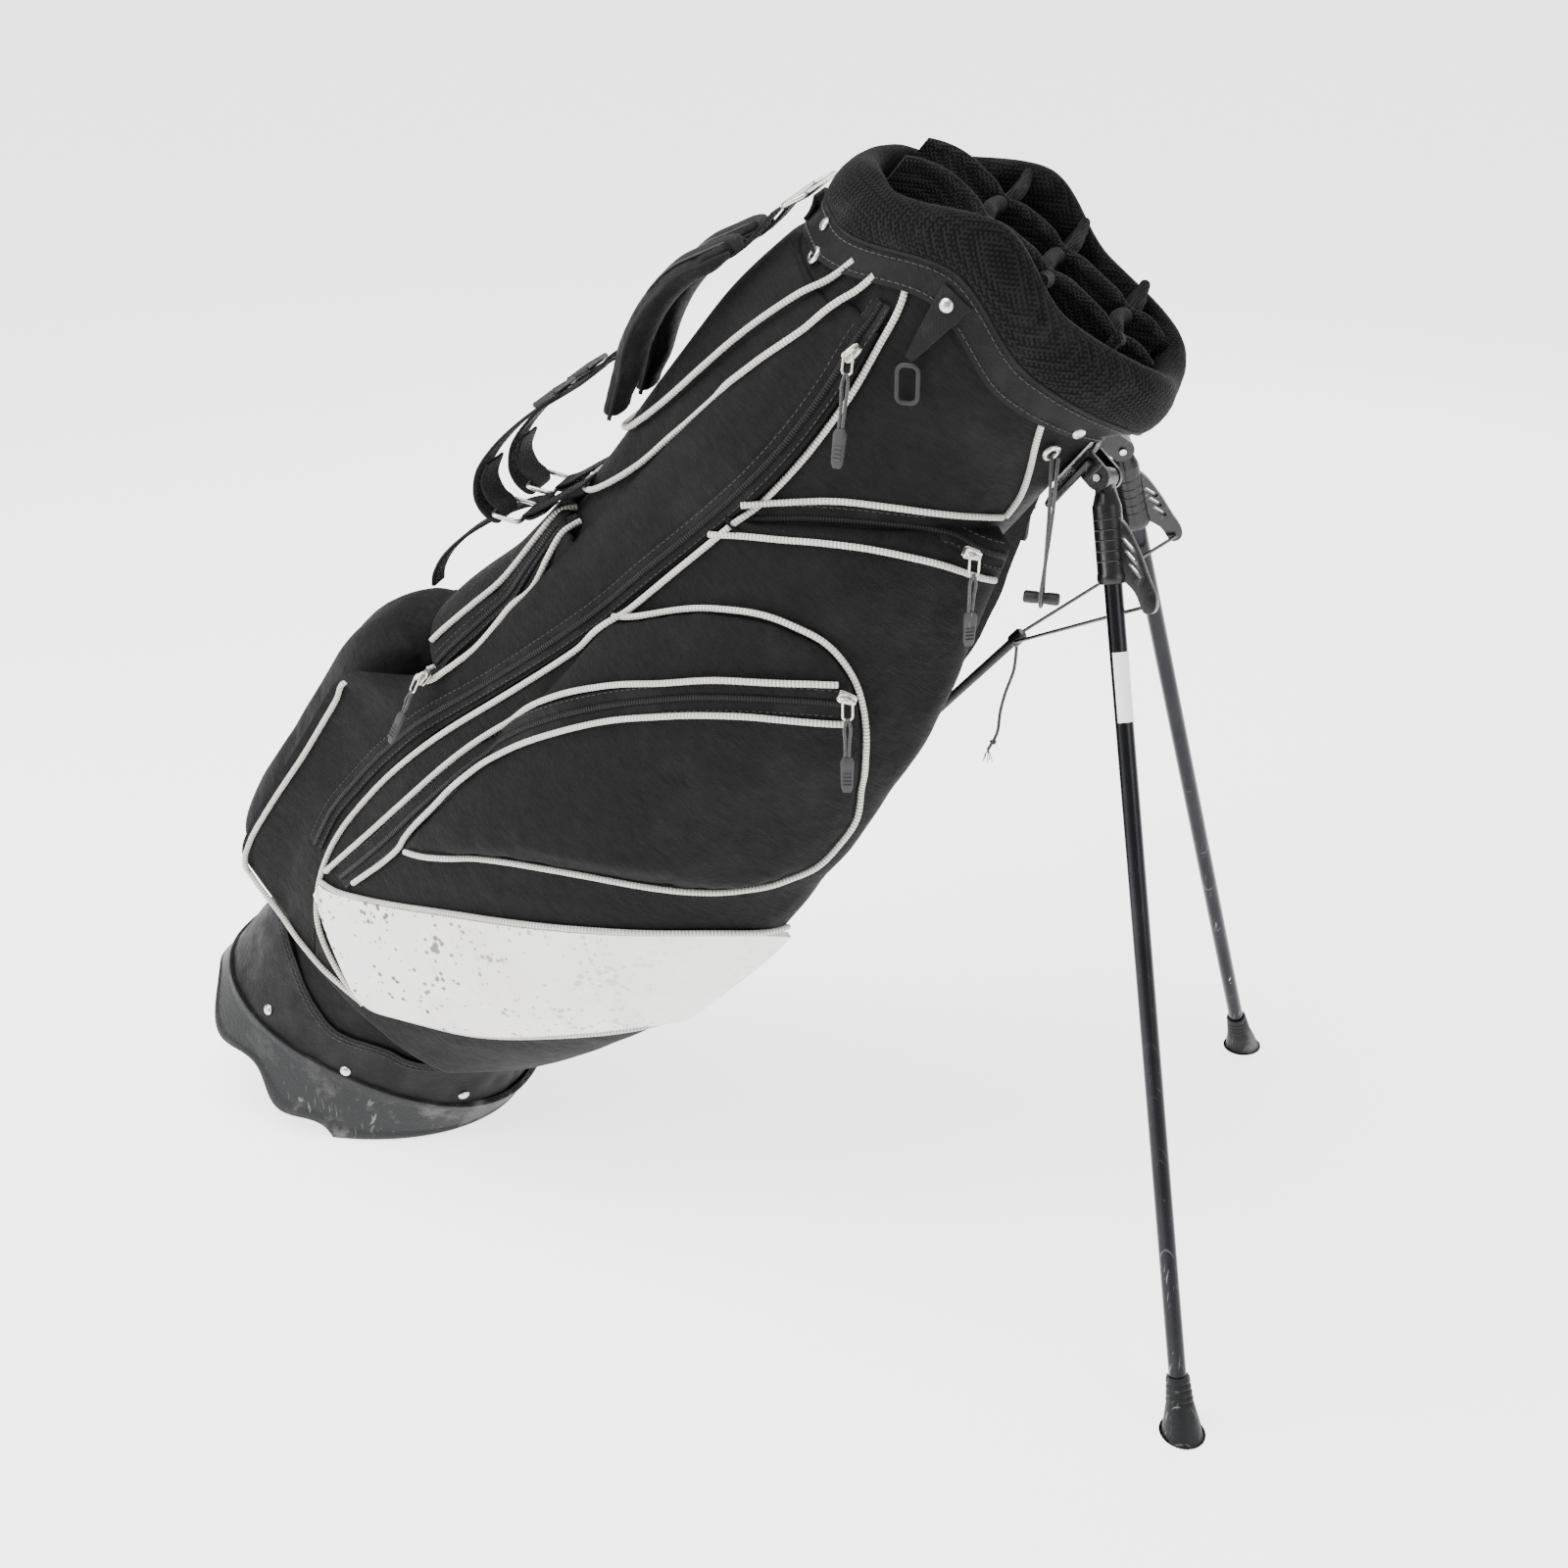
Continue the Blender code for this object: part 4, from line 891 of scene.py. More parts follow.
OUTSIDE = 0.42
RUN_STEP = 0.004
PIPED = ((0.0, 0.0), (0.0, -1.7), (0.0, 1.7), (-0.003, 0.0), (0.003, 0.0))
skin_points, skin_faces = [], []
for skin in pocket_skins:
    first = len(skin_points)
    skin_points += [v.co.copy() for v in skin.data.vertices]
    skin_faces += [[first + i for i in face.vertices] for face in skin.data.polygons]
pocket_cloth = BVHTree.FromPolygons(skin_points, skin_faces)


def onto(u, phi, around=((0.0, 0.0),)):
    """Place and outward normal on the cloth at a height and an angle: on its highest part around them."""
    reach, ways = body_r(u, phi), Vector()
    for du, turn in around:
        foot = polar(u + du, phi + turn, 0.0)
        out = (polar(u + du, phi + turn, OUTSIDE) - foot).normalized()
        hit, normal, _, _ = pocket_cloth.ray_cast(polar(u + du, phi + turn, OUTSIDE), -out, OUTSIDE)
        if hit is None or (hit - foot).dot(out) < body_r(u, phi):
            ways += out
            continue
        reach = max(reach, (hit - foot).dot(out))
        ways += normal if normal.dot(out) > 0 else -normal
    return polar(u, phi, reach), ways.normalized()


def run_on(route, ease=5, lift=0.0, around=((0.0, 0.0),)):
    """Line laid on the cloth through (u, phi) points: its points and their outward normals, evened out."""
    flat = [Vector((u, math.radians(phi) * BAG_ROUND, 0)) for u, phi in route]
    curve = catmull(flat, 8)
    count = max(4, round(length_of(curve) / RUN_STEP))
    runs = walked(curve)
    wanted = np.linspace(0, runs[-1], count + 1)
    us = np.interp(wanted, runs, [p.x for p in curve])
    phis = np.degrees(np.interp(wanted, runs, [p.y for p in curve]) / BAG_ROUND)
    found = [onto(u, phi, around) for u, phi in zip(us, phis)]
    points = np.array([p + n * lift for p, n in found])
    normals = np.array([n for _, n in found])
    for _ in range(ease):
        points[1:-1] = points[1:-1] * 0.5 + (points[:-2] + points[2:]) * 0.25
        normals[1:-1] = normals[1:-1] * 0.5 + (normals[:-2] + normals[2:]) * 0.25
    return [Vector(p) for p in points], [Vector(n).normalized() for n in normals]


def stitch_parts(points, normals, length=0.0034, gap=0.0016, radius=0.00042, lift=0.0003):
    """Row of stitches along a line: each is a short bead of thread that dips in at both ends."""
    parts = []
    runs = walked(points)
    place = gap
    xyz, out = np.array(points), np.array(normals)
    while place + length < runs[-1]:
        steps = [place + length * k / 4 for k in range(5)]
        line = [Vector([np.interp(x, runs, xyz[:, d]) for d in range(3)]) for x in steps]
        up = [Vector([np.interp(x, runs, out[:, d]) for d in range(3)]) for x in steps]
        arch = (-0.0004, lift, lift + 0.0002, lift, -0.0004)
        line = [p + n * h for p, n, h in zip(line, up, arch)]
        parts.append(tube_parts(swept(line, round_shape(radius, 5))))
        place += length + gap
    return parts


for word, side in SIDES:
    slab(f"base_panel_{word}_vinyl", mirrored(side, panel_place),
         on_side(side, lambda u, phi, t, s: side_face(u, phi) - 0.001),
         on_side(side, lambda u, phi, t, s: side_face(u, phi) + 0.0042
                 + 0.0009 * soft_fold(u, phi, 14.0, 6.0, 5.0) * edge_round(s, 3.0)),
         white_vinyl, 121, 33, (f"base_panel_{word}",))

# Piping: welt cord in white vinyl tape, sewn into every pocket seam. The tape is ribbed across by
# its own stitching, with painted shade in the valleys between ribs, and has gone slightly cream; it is a little
# dirtier low on the bag.
PIPING_R = 0.0023
piping_tape, tree, shader = paint("white_piping", 0.5, sheen=0.15)
places = places_of(tree)
run = node(tree, "Attribute", {"attribute_name": "run"}).outputs["Fac"]
RIB = 0.0026
ribs = maths(tree, "SINE", maths(tree, "MULTIPLY", run, math.tau / RIB))
low_down = span(tree, height_of(tree, places), 0.05, 0.40, 0.75, 0.18)
grime = maths(tree, "MULTIPLY", span(tree, speckle(tree, places, 34.0, 5.0, 0.7), 0.42, 0.72, 0.0, 1.0), low_down)
# Painted shade: the ribs' valleys are darker than their crests.
base = blend_colour(tree, span(tree, ribs, -1.0, 0.4, 0.0, 1.0), (0.34, 0.33, 0.29, 1), (0.72, 0.70, 0.64, 1))
finish_skin(tree, shader, blend_colour(tree, grime, base, (0.24, 0.20, 0.14, 1)), None, ribs, 0.0005)


def carry(mesh, label, values):
    """Gives a mesh's points a value each, for its material to read."""
    mesh.attributes.new(label, "FLOAT", "POINT").data.foreach_set("value", [float(x) for x in values])


def piping(name, routes, lift=0.0):
    """White welt cord along (u, phi) routes, half sunk in its seam; it carries its length for the ribs."""
    points, faces, runs = [], [], []
    for route in routes:
        line, normals = run_on(route, 5, lift, PIPED)
        cord = [p + n * PIPING_R * 0.55 for p, n in zip(line, normals)]
        part_points, part_faces = tube_parts(swept(cord, round_shape(PIPING_R, 10), normals))
        faces += [tuple(i + len(points) for i in face) for face in part_faces]
        points += part_points
        runs += list(np.repeat(walked(line), 10))
    mesh = closed(name, points, faces)
    carry(mesh, "run", runs)
    keep(name, mesh, piping_tape)


def far_of(route, side):
    """A near side's route, or its mirror image on the far side."""
    return [(u, phi if side > 0 else 360 - phi) for u, phi in route]


def thinned(knots, low, high, step):
    """Route along knots (u, phi) between two heights."""
    count = max(3, round(abs(high - low) / step))
    return [(u, rounded(u, knots)) for u in np.linspace(low, high, count)]


main_route = ([(0.144, 80.0), (0.153, 63.5), (0.169, 49.5)]
              + [(u, phi + 1.5) for u, phi in thinned(MAIN_SEAM, 0.195, 0.872, 0.03)] + [(0.886, 58.0)])
belly_route = [(0.890, 124.5), (0.874, 129.0), (0.857, 134.0), (0.836, 141.5), (0.815, 148.0), (0.798, 149.5)]
upper_zip_top = [(0.700, 67.0), (0.712, 72.0), (0.743, 88.0), (0.764, 104.0), (0.780, 120.0), (0.792, 136.0),
                 (0.797, 148.0)]
upper_zip_low = [(0.668, 65.5), (0.682, 72.0), (0.703, 84.0), (0.724, 96.0), (0.744, 110.0), (0.760, 127.0),
                 (0.766, 147.0)]
panel_top_route = [(rounded(phi, PANEL_TOP), phi) for phi in np.linspace(43.0, 149.0, 17)]
panel_low_route = ([(0.197, 42.5), (0.181, 52.0), (0.163, 66.0)]
                   + [(rounded(phi, PANEL_LOW) - 0.001, phi) for phi in np.linspace(80.0, 149.0, 12)])
ball_route = ([(0.404, 18.2), (0.385, 20.6)] + [(u, 21.6) for u in np.linspace(0.36, 0.16, 10)]
              + [(0.143, 22.0), (0.132, 23.5)])
low_edge_route = [(0.131, 21.5), (0.130, 30.0), (0.131, 42.0), (0.136, 56.0), (0.142, 70.0), (0.145, 79.0)]
seam_routes = (main_route, belly_route, upper_zip_top, upper_zip_low, panel_top_route, panel_low_route, ball_route,
               low_edge_route)
for word, side in SIDES:
    piping(f"piping_{word}", [far_of(route, side) for route in seam_routes])
spine_edges = []
for knots in (SPINE_OUTER, SPINE_INNER):
    spine_edges.append([(u, 360 - phi) for u, phi in reversed(knots[1:])] + [(u, 360.0 + phi) for u, phi in knots])
piping("piping_spine_panel", spine_edges, lift=0.0016)
d_edge = ([(rounded(phi, D_LOW) - 0.001, phi) for phi in np.linspace(62.0, 136.0, 16)]
          + [(0.530, 140.6), (0.560, 142.2), (0.592, 140.8)]
          + [(rounded(phi, D_TOP) + 0.001, phi) for phi in np.linspace(136.0, 60.0, 16)])
D_ZIP_TOP = [(0.214, 43.0), (0.262, 46.5), (0.323, 50.0), (0.420, 55.6), (0.494, 64.6), (0.540, 75.0), (0.576, 86.5),
             (0.607, 96.0), (0.631, 105.3), (0.654, 115.0), (0.662, 119.5)]
D_ZIP_LOW = [(0.236, 53.5), (0.272, 57.0), (0.299, 58.6), (0.352, 60.5), (0.403, 62.6), (0.443, 66.4), (0.477, 71.8),
             (0.522, 81.5), (0.560, 92.4), (0.590, 102.0), (0.612, 110.3), (0.632, 119.5), (0.643, 125.5)]
piping("piping_accessory_pocket", [d_edge, D_ZIP_TOP, D_ZIP_LOW], lift=0.0009)
spine_zip_edge = [(0.578, 22.0), (0.556, 28.0), (0.520, 32.4), (0.470, 33.6), (0.430, 33.8), (0.404, 32.0),
                  (0.404, 24.0), (0.404, 10.0)]
spine_zip_top = [(0.572, 12.0), (0.548, 17.0), (0.508, 20.5), (0.462, 22.5), (0.424, 23.0)]
for word, side in SIDES:
    piping(f"piping_spine_pocket_{word}", [far_of(spine_zip_edge, side), far_of(spine_zip_top, side)])

# Zips: black coil zips, each a strip of woven tape on either side of a row of nylon coils. The
# garment pockets have one long zip beside the main seam; the others cross the pockets' tops.
zip_tape = cloth_look("zip_tape", 0.0015, 0.0035, 0.05, 0.02, 0.0012)
zip_coil, tree, shader = paint("zip_coil", 0.5, specular=0.2)
run = node(tree, "Attribute", {"attribute_name": "run"}).outputs["Fac"]
COIL = 0.0021
tooth = maths(tree, "SINE", maths(tree, "MULTIPLY", run, math.tau / COIL))
# The coils' colour is painted shade and light: darker in the gaps between coils, lighter on their tops.
finish_skin(tree, shader, blend_colour(tree, span(tree, tooth, -1.0, 1.0, 0.0, 1.0), shade(0.0015), shade(0.010)),
            None, tooth, 0.0008)


def band_shape(width, thick):
    """Flat woven band as a ring shape, with thin round edges."""
    h, t = width / 2, thick / 2
    corners = [(-h, 0), (-h + t * 0.6, -t), (-h * 0.4, -t), (0, -t * 0.9), (h * 0.4, -t), (h - t * 0.6, -t), (h, 0),
               (h - t * 0.6, t), (h * 0.4, t), (0, t * 0.9), (-h * 0.4, t), (-h + t * 0.6, t)]
    return lambda i, share: corners


def across_line(points, normals):
    """Directions across a line that lies on the cloth."""
    ways = []
    for i, n in enumerate(normals):
        tangent = points[min(i + 1, len(points) - 1)] - points[max(i - 1, 0)]
        ways.append(tangent.cross(n).normalized())
    return ways


def oval_shape(half_wide, half_thick, sides):
    """Oval as a ring shape; half_wide is a number or a function of the share along."""
    circle = round_shape(1.0, sides)(0, 0)

    def shape(i, share):
        wide = half_wide(share) if callable(half_wide) else half_wide
        return [(x * wide, z * half_thick) for x, z in circle]
    return shape


def zip_line(name, route, width):
    """Zip along a (u, phi) route: its tape, its coils and the stitching on both edges of the tape."""
    points, normals = run_on(route, 6, 0.0008)
    ways = across_line(points, normals)
    tube(f"{name}_tape", swept(points, band_shape(width, 0.0012), ways), zip_tape)
    line = [p + n * 0.0010 for p, n in zip(points, normals)]
    mesh = closed(f"{name}_coils", *tube_parts(swept(line, oval_shape(0.0024, 0.0014, 10), ways)))
    carry(mesh, "run", np.repeat(walked(line), 10))
    keep(f"{name}_coils", mesh, zip_coil)
    edges = []
    for shift in (-1, 1):
        line = [p + way * shift * width * 0.42 + n * 0.0006 for p, way, n in zip(points, ways, normals)]
        edges += stitch_parts(line, normals, 0.0030, 0.0018, 0.00030)
    gather(f"{name}_stitches", edges, thread_black)


def between(one, other):
    """Route half way between two routes."""
    shares = np.linspace(0, 1, 14)
    ends = [[np.interp(shares, np.linspace(0, 1, len(route)), [q[d] for q in route]) for d in (0, 1)]
            for route in (one, other)]
    return [(float(u0 * 0.5 + u1 * 0.5), float(phi0 * 0.5 + phi1 * 0.5))
            for u0, phi0, u1, phi1 in zip(*ends[0], *ends[1])]


garment_zip = [(u, phi - 5.2) for u, phi in thinned(MAIN_SEAM, 0.215, 0.866, 0.035)]
spine_zip = [(0.574, 17.5), (0.552, 22.5), (0.515, 26.0), (0.465, 28.2), (0.420, 28.6)]
for word, side in SIDES:
    for kind, route, width in (("garment", garment_zip, 0.017), ("side", between(upper_zip_top, upper_zip_low), 0.021),
                               ("spine_pocket", spine_zip, 0.015)):
        zip_line(f"{kind}_zip_{word}", far_of(route, side), width)
zip_line("accessory_zip", between(D_ZIP_TOP, D_ZIP_LOW), 0.022)

# Stitching that shows: white thread along the vinyl panel's upper and lower edges
edge_rows = []
for route, drop in ((panel_top_route, -0.0058), (panel_low_route, 0.0058)):
    for word, side in SIDES:
        line, normals = run_on(far_of([(u + drop, phi) for u, phi in route], side))
        edge_rows += stitch_parts([p + n * 0.0008 for p, n in zip(line, normals)], normals)
gather("panel_stitches", edge_rows, thread_white)

# Collar: a wide band of black vinyl sewn over the mouth's edge and riveted through the moulded frame,
# then the cuff, a roll of foam under thick spacer mesh that stands up round the mouth.
black_vinyl, tree, shader = paint("black_vinyl", 0.55, specular=0.14)
places = places_of(tree)
lint = use(tree, dust, Amount=0.05, Scale=22.0).outputs["Mask"]
base = blend_colour(tree, speckle(tree, places, 30.0), shade(0.0015), shade(0.0040))
finish_skin(tree, shader, blend_colour(tree, lint, base, (0.16, 0.15, 0.14, 1)),
            span(tree, speckle(tree, places, 48.0, 4.0), 0.35, 0.65, 0.46, 0.66),
            use(tree, grain, Pebbles=850.0).outputs["Height"], 0.00035)

# pores: the even open cells of spacer mesh, which look alike whichever way the cloth faces
pores, ends_in, ends_out = effect("pores", {"Cell": 0.0034}, ("Height",))
spun = node(pores, "Mapping", None, Vector=places_of(pores), Rotation=(0.35, -LEAN, 0.6))
parted = node(pores, "SeparateXYZ", None, Vector=spun.outputs["Vector"])
turns = maths(pores, "DIVIDE", math.tau, ends_in.outputs["Cell"])
waves = {}
for label in "XYZ":
    angle_here = maths(pores, "MULTIPLY", parted.outputs[label], turns)
    waves[label] = (maths(pores, "SINE", angle_here), maths(pores, "COSINE", angle_here))
total = maths(pores, "MULTIPLY", waves["X"][0], waves["Y"][1])
total = maths(pores, "MULTIPLY_ADD", waves["Y"][0], waves["Z"][1], total)
total = maths(pores, "MULTIPLY_ADD", waves["Z"][0], waves["X"][1], total)
pores.links.new(total, ends_out.inputs["Height"])


def mesh_cloth(name, cell, dark, pale):
    """Spacer mesh: a knitted net over foam, its open cells darkened with painted shade and its threads lighter."""
    look, tree, shader = paint(name, 0.88, sheen=0.02, specular=0.10)
    cells = use(tree, pores, Cell=cell).outputs["Height"]
    base = blend_colour(tree, span(tree, cells, -0.2, 0.7, 0.0, 1.0), shade(dark), shade(pale))
    lint = use(tree, dust, Amount=0.07, Scale=24.0).outputs["Mask"]
    finish_skin(tree, shader, blend_colour(tree, lint, base, (0.20, 0.19, 0.18, 1)), None,
                span(tree, cells, -0.5, 0.8, 0.0, 1.0), 0.0012)
    return look


cuff_mesh = mesh_cloth("spacer_mesh", 0.0038, 0.0006, 0.0060)
divider_mesh = mesh_cloth("divider_mesh", 0.0030, 0.0012, 0.0130)

ring_wall("collar_vinyl", lambda phi: list(np.linspace(cuff_edge(phi) - BAND_DEPTH, cuff_edge(phi) + 0.004, 12)),
          lambda u, phi: body_r(u, phi) + 0.0012,
          lambda u, phi: body_r(u, phi) + 0.0042 + 0.0007 * soft_fold(u, phi, 30.0, 9.0, 2.0),
          black_vinyl, ("collar_band",), 180)


def cuff_ring(phi):
    """Round section of the cuff, fuller between the places where its cover is tacked down."""
    edge = cuff_edge(phi)
    r = body_r(edge, phi)
    puff = 1.0 + 0.10 * noise.noise(Vector((math.radians(phi) * 4.5, 2.2, 0.0)))
    sections = ((0.0, -0.009), (0.0, 0.0045), (0.05, 0.0070), (0.16, 0.0086), (0.34, 0.0096), (0.52, 0.0094),
                (0.70, 0.0080), (0.85, 0.0052), (0.95, 0.0014), (1.01, -0.0034), (1.00, -0.0082), (0.93, -0.0118),
                (0.80, -0.0142), (0.60, -0.0155), (0.38, -0.0153), (0.18, -0.0142), (0.05, -0.0125))
    return [polar(edge + share * CUFF_HEIGHT * (0.97 + 0.03 * puff), phi, r + (out * puff if out > 0 else out))
            for share, out in sections]


AROUND = 240
cuff = tube("collar_cuff_mesh", [cuff_ring(360 * k / AROUND) for k in range(AROUND)], cuff_mesh,
            nodes=("collar_cuff",), loop=True, sharp=80)


def ring_line(lift, drop, count=240):
    """Closed line round the collar, a distance out from the tube and below the cuff's edge."""
    line = []
    for k in range(count):
        phi = 360 * k / count
        u = cuff_edge(phi) - drop
        line.append(polar(u, phi, body_r(u, phi) + lift))
    return line


def out_ways(points):
    """Outward directions of points round the bag's axis."""
    return [((p - BASE) - UP_BAG * (p - BASE).dot(UP_BAG)).normalized() for p in points]


def band_stitches(name, lines):
    """Rows of black stitches round the bag."""
    rows = []
    for line in lines:
        rows += stitch_parts(line, out_ways(line), 0.0034, 0.0018, 0.00036)
    gather(name, rows, thread_black)


welt = ring_line(0.0052, 0.0005)
tube("collar_welt", swept(welt, round_shape(0.0017, 8), out_ways(welt), closed_path=True), black_vinyl,
     loop=True)
band_stitches("collar_stitches", [ring_line(0.0046, drop, 360) for drop in (0.0052, BAND_DEPTH - 0.004)])

# Mouth: the moulded frame inside the collar carries dividers of foam board in mesh sleeves, three
# across the mouth and two along it. Their rolled top edges are soft and dip where they cross.
DIVIDER_LOW = 0.815
DIVIDER_TOP = 0.925
DIVIDER_THICK = 0.007
CROSS_W = (-0.046, 0.006, 0.066)
LONG_Y = (-0.032, 0.032)


def mouth_reach(w):
    """Half width of the clear mouth at a place along it."""
    end = SPINE_R[-1][1] - CUFF_IN if w < 0 else BELLY_R[1][1] - 0.006
    return (SIDE_R[-1][1] - CUFF_IN) * (1 - min(1.0, abs(w / end)) ** ROUNDNESS) ** (1 / ROUNDNESS)


def sleeve_shape(height, roll):
    """Cut face of a divider: a thin board with a fat rolled top, as (across, up) from the top down."""
    half = DIVIDER_THICK / 2
    points = [(half * 0.9, -height), (half, -height * 0.5), (half, -roll * 3.2)]
    points += [(math.cos(a) * roll, math.sin(a) * roll - roll) for a in np.linspace(-0.7, math.pi + 0.7, 13)]
    return points + [(-half, -roll * 3.2), (-half, -height * 0.5), (-half * 0.9, -height)]


def divider(name, line):
    """Mesh-sleeved divider along a line of (w, y, top height) places."""
    rings = []
    for k, (w, y, top) in enumerate(line):
        share = k / (len(line) - 1)
        ahead, behind = line[min(k + 1, len(line) - 1)], line[max(k - 1, 0)]
        tangent = along(0, ahead[0] - behind[0], ahead[1] - behind[1]).normalized()
        wide = tangent.cross(UP_BAG).normalized()
        roll = 0.0052 * (1 - 0.25 * abs(2 * share - 1) ** 3)
        rings.append([at(top, w, y) + wide * x + UP_BAG * z for x, z in sleeve_shape(top - DIVIDER_LOW, roll)])
    tube(f"{name}_sleeve", rings, divider_mesh, nodes=(name,), sharp=80)


for number, w in enumerate(CROSS_W, 1):
    reach = mouth_reach(w) + 0.003
    line = []
    for y in np.linspace(-reach, reach, 61):
        cross = min(abs(y - LONG_Y[0]), abs(y - LONG_Y[1]))
        dip = 0.0045 * math.exp(-(cross / 0.009) ** 2)
        sag = 0.0035 * math.sin(math.pi * (y / reach + 1) * 1.5)
        sag += 0.0016 * noise.noise(Vector((w * 40, y * 30, 0)))
        line.append((w + sag, y, DIVIDER_TOP + 0.013 + 0.010 * (y / reach) ** 2 - dip))
    divider(f"cross_divider_{number}", line)
for word, y in (("near", LONG_Y[0]), ("far", LONG_Y[1])):
    line = []
    for w in np.linspace(-0.112, 0.098, 71):
        cross = min(abs(w - c) for c in CROSS_W)
        dip = 0.004 * math.exp(-(cross / 0.009) ** 2)
        ends = 0.010 * max(0.0, (abs(w) - 0.075) / 0.035) ** 2
        sag = 0.0028 * math.sin(w * 62 + (0.6 if word == "near" else 2.0))
        line.append((w, y + sag, DIVIDER_TOP + 0.016 - dip - ends))
    divider(f"long_divider_{word}", line)

# Base: a band of black vinyl riveted round the foot of the tube, and the moulded rubber foot itself,
# a cup with a scalloped lower edge whose raised lip is scuffed grey from standing on paths.
rubber, tree, shader = paint("worn_rubber", 0.66, specular=0.16)
places = places_of(tree)
low_down = span(tree, height_of(tree, places), 0.0, 0.075, 1.0, 0.25)
rub = span(tree, speckle(tree, places, 21.0, 7.0, 0.7), 0.52, 0.68, 0.0, 1.0)
marks = maths(tree, "MAXIMUM", maths(tree, "MULTIPLY", rub, 0.55), use(tree, scratches, Amount=0.9).outputs["Mask"])
worn = maths(tree, "MULTIPLY", marks, low_down)
base = blend_colour(tree, speckle(tree, places, 12.0), (0.0055, 0.006, 0.0065, 1), (0.012, 0.0125, 0.0135, 1))
finish_skin(tree, shader, blend_colour(tree, worn, base, (0.21, 0.21, 0.20, 1)),
            span(tree, worn, 0.0, 0.8, 0.46, 0.82), use(tree, grain, Pebbles=700.0).outputs["Height"], 0.0003)


def cup_low(w, phi, rim):
    """Height of the foot's underside: flat on the ground at the belly, scalloped where it shows."""
    scallop = (0.004 + 0.009 * math.cos(math.radians(9 * phi))) * rim
    return max(-0.010 - scallop, floor_u(w) + 0.0004)


CUP_WALL = 0.0045
CUP_AROUND = 216
cup_rings = []
for k in range(CUP_AROUND):
    phi = 360 * k / CUP_AROUND
    to_w = -math.cos(math.radians(phi))
    inside = body_r(0.0, phi) + GAP
    outside = inside + CUP_WALL
    low, top = cup_low(outside * to_w, phi, 1.0), cup_edge(phi)
    rows = [(cup_low(outside * share * to_w, phi, 0.0), outside * share) for share in (0.30, 0.70, 0.93)]
    rows += [(low, outside - 0.0018), (low + 0.0014, outside + 0.0004), (low + (top - low) * 0.14, outside + 0.0012)]
    rows += [(low + (top - low) * share, outside) for share in (0.20, 0.24, 0.5, 0.80, 0.86)]
    rows += [(top - 0.0030, outside + 0.0012), (top - 0.0008, outside + 0.0010), (top, outside - 0.0012),
             (top, inside + 0.0006)]
    rows += [(max(0.0, floor_u(inside * share * to_w) + 0.009) - GAP, inside * share) for share in (1.0, 0.7, 0.30)]
    cup_rings.append([polar(u, phi, r) for u, r in rows])
points = [p for ring in cup_rings for p in ring]
count = len(cup_rings[0])
faces = strip_faces(CUP_AROUND, count, loop=True, ring_open=True)
faces.append(tuple(k * count for k in range(CUP_AROUND)))
faces.append(tuple(k * count + count - 1 for k in range(CUP_AROUND)))
keep("base_foot_rubber", closed("base_foot_rubber", points, faces), rubber, nodes=("base_cup",), sharp=40)

ring_wall("base_band_vinyl", lambda phi: list(np.linspace(cup_edge(phi) + 0.0004, band_edge(phi) - 0.0004, 18)),
          lambda u, phi: body_r(u, phi) + 0.0008,
          lambda u, phi: body_r(u, phi) + 0.0032 + 0.0010 * soft_fold(u, phi, 22.0, 7.0, 9.0),
          black_vinyl, ("base_band",), 180)
band_stitches("base_band_stitches", [[polar(band_edge(phi) - drop, phi, body_r(band_edge(phi), phi) + 0.0040)
                                      for phi in np.linspace(0, 360, 361)] for drop in (0.0045, 0.0085)])
TAB_FACE = ((-0.008, -0.0035), (0.008, -0.0035), (0.008, 0.0035), (-0.008, 0.0035))
drain_tabs = []
for phi in (128.0, 232.0):
    tab_line = [polar(0.025 + k * 0.004, phi, body_r(0.03, 96.0) + 0.0045) for k in range(5)]
    drain_tabs.append(tube_parts(swept(tab_line, lambda i, share: TAB_FACE, out_ways(tab_line))))
gather("base_drain_tabs", drain_tabs, rubber)

# Rivets and eyelets: nickel-plated brass, set through the vinyl into the frame or the foot
nickel, tree, shader = paint("nickel_plate", 0.28, metal=1.0)
places = places_of(tree)
tarnish = span(tree, speckle(tree, places, 260.0, 5.0, 0.7), 0.35, 0.75, 0.0, 1.0)
finish_skin(tree, shader, blend_colour(tree, tarnish, (0.66, 0.64, 0.60, 1), (0.42, 0.38, 0.32, 1)),
            span(tree, tarnish, 0.0, 1.0, 0.20, 0.42), speckle(tree, places, 900.0, 3.0), 0.00005)


def band_place(u, phi, lift):
    """Place and outward direction on a vinyl band."""
    place = polar(u, phi, body_r(u, phi) + lift)
    return place, out_ways([place])[0]


DOME = ((0.0, 0.0052), (0.0006, 0.0050), (0.0014, 0.0044), (0.0021, 0.0034), (0.0025, 0.0020), (0.0026, 0.0005))
COLLAR_RIVETS = ((0.865, 21.5, 0.0040), (0.865, 338.5, 0.0040), (0.896, 74.0, 0.0066), (0.896, 286.0, 0.0040),
                 (0.880, 143.0, 0.0040), (0.880, 217.0, 0.0040))
BASE_RIVETS = tuple((u, phi, 0.0030) for u, near in ((0.046, 50.0), (0.061, 92.0), (0.096, 140.0))
                    for phi in (near, 360 - near))
for name, rivets in (("collar_rivets", COLLAR_RIVETS), ("base_rivets", BASE_RIVETS)):
    gather(name, [tube_parts(turned_rings(*band_place(*rivet), DOME, 20)) for rivet in rivets], nickel)
EYELET = ((0.0, 0.0030), (0.0016, 0.0032), (0.0022, 0.0042), (0.0020, 0.0056), (0.0010, 0.0066), (0.0, 0.0068))
eyelets = []
for where in ((0.848, 27.0, 0.0028), (0.848, 333.0, 0.0028), (0.858, 141.0, 0.0036), (0.858, 219.0, 0.0036)):
    rings = turned_rings(*band_place(*where), EYELET, 24)
    eyelets.append(tube_parts([list(ring) for ring in zip(*rings)], loop=True))
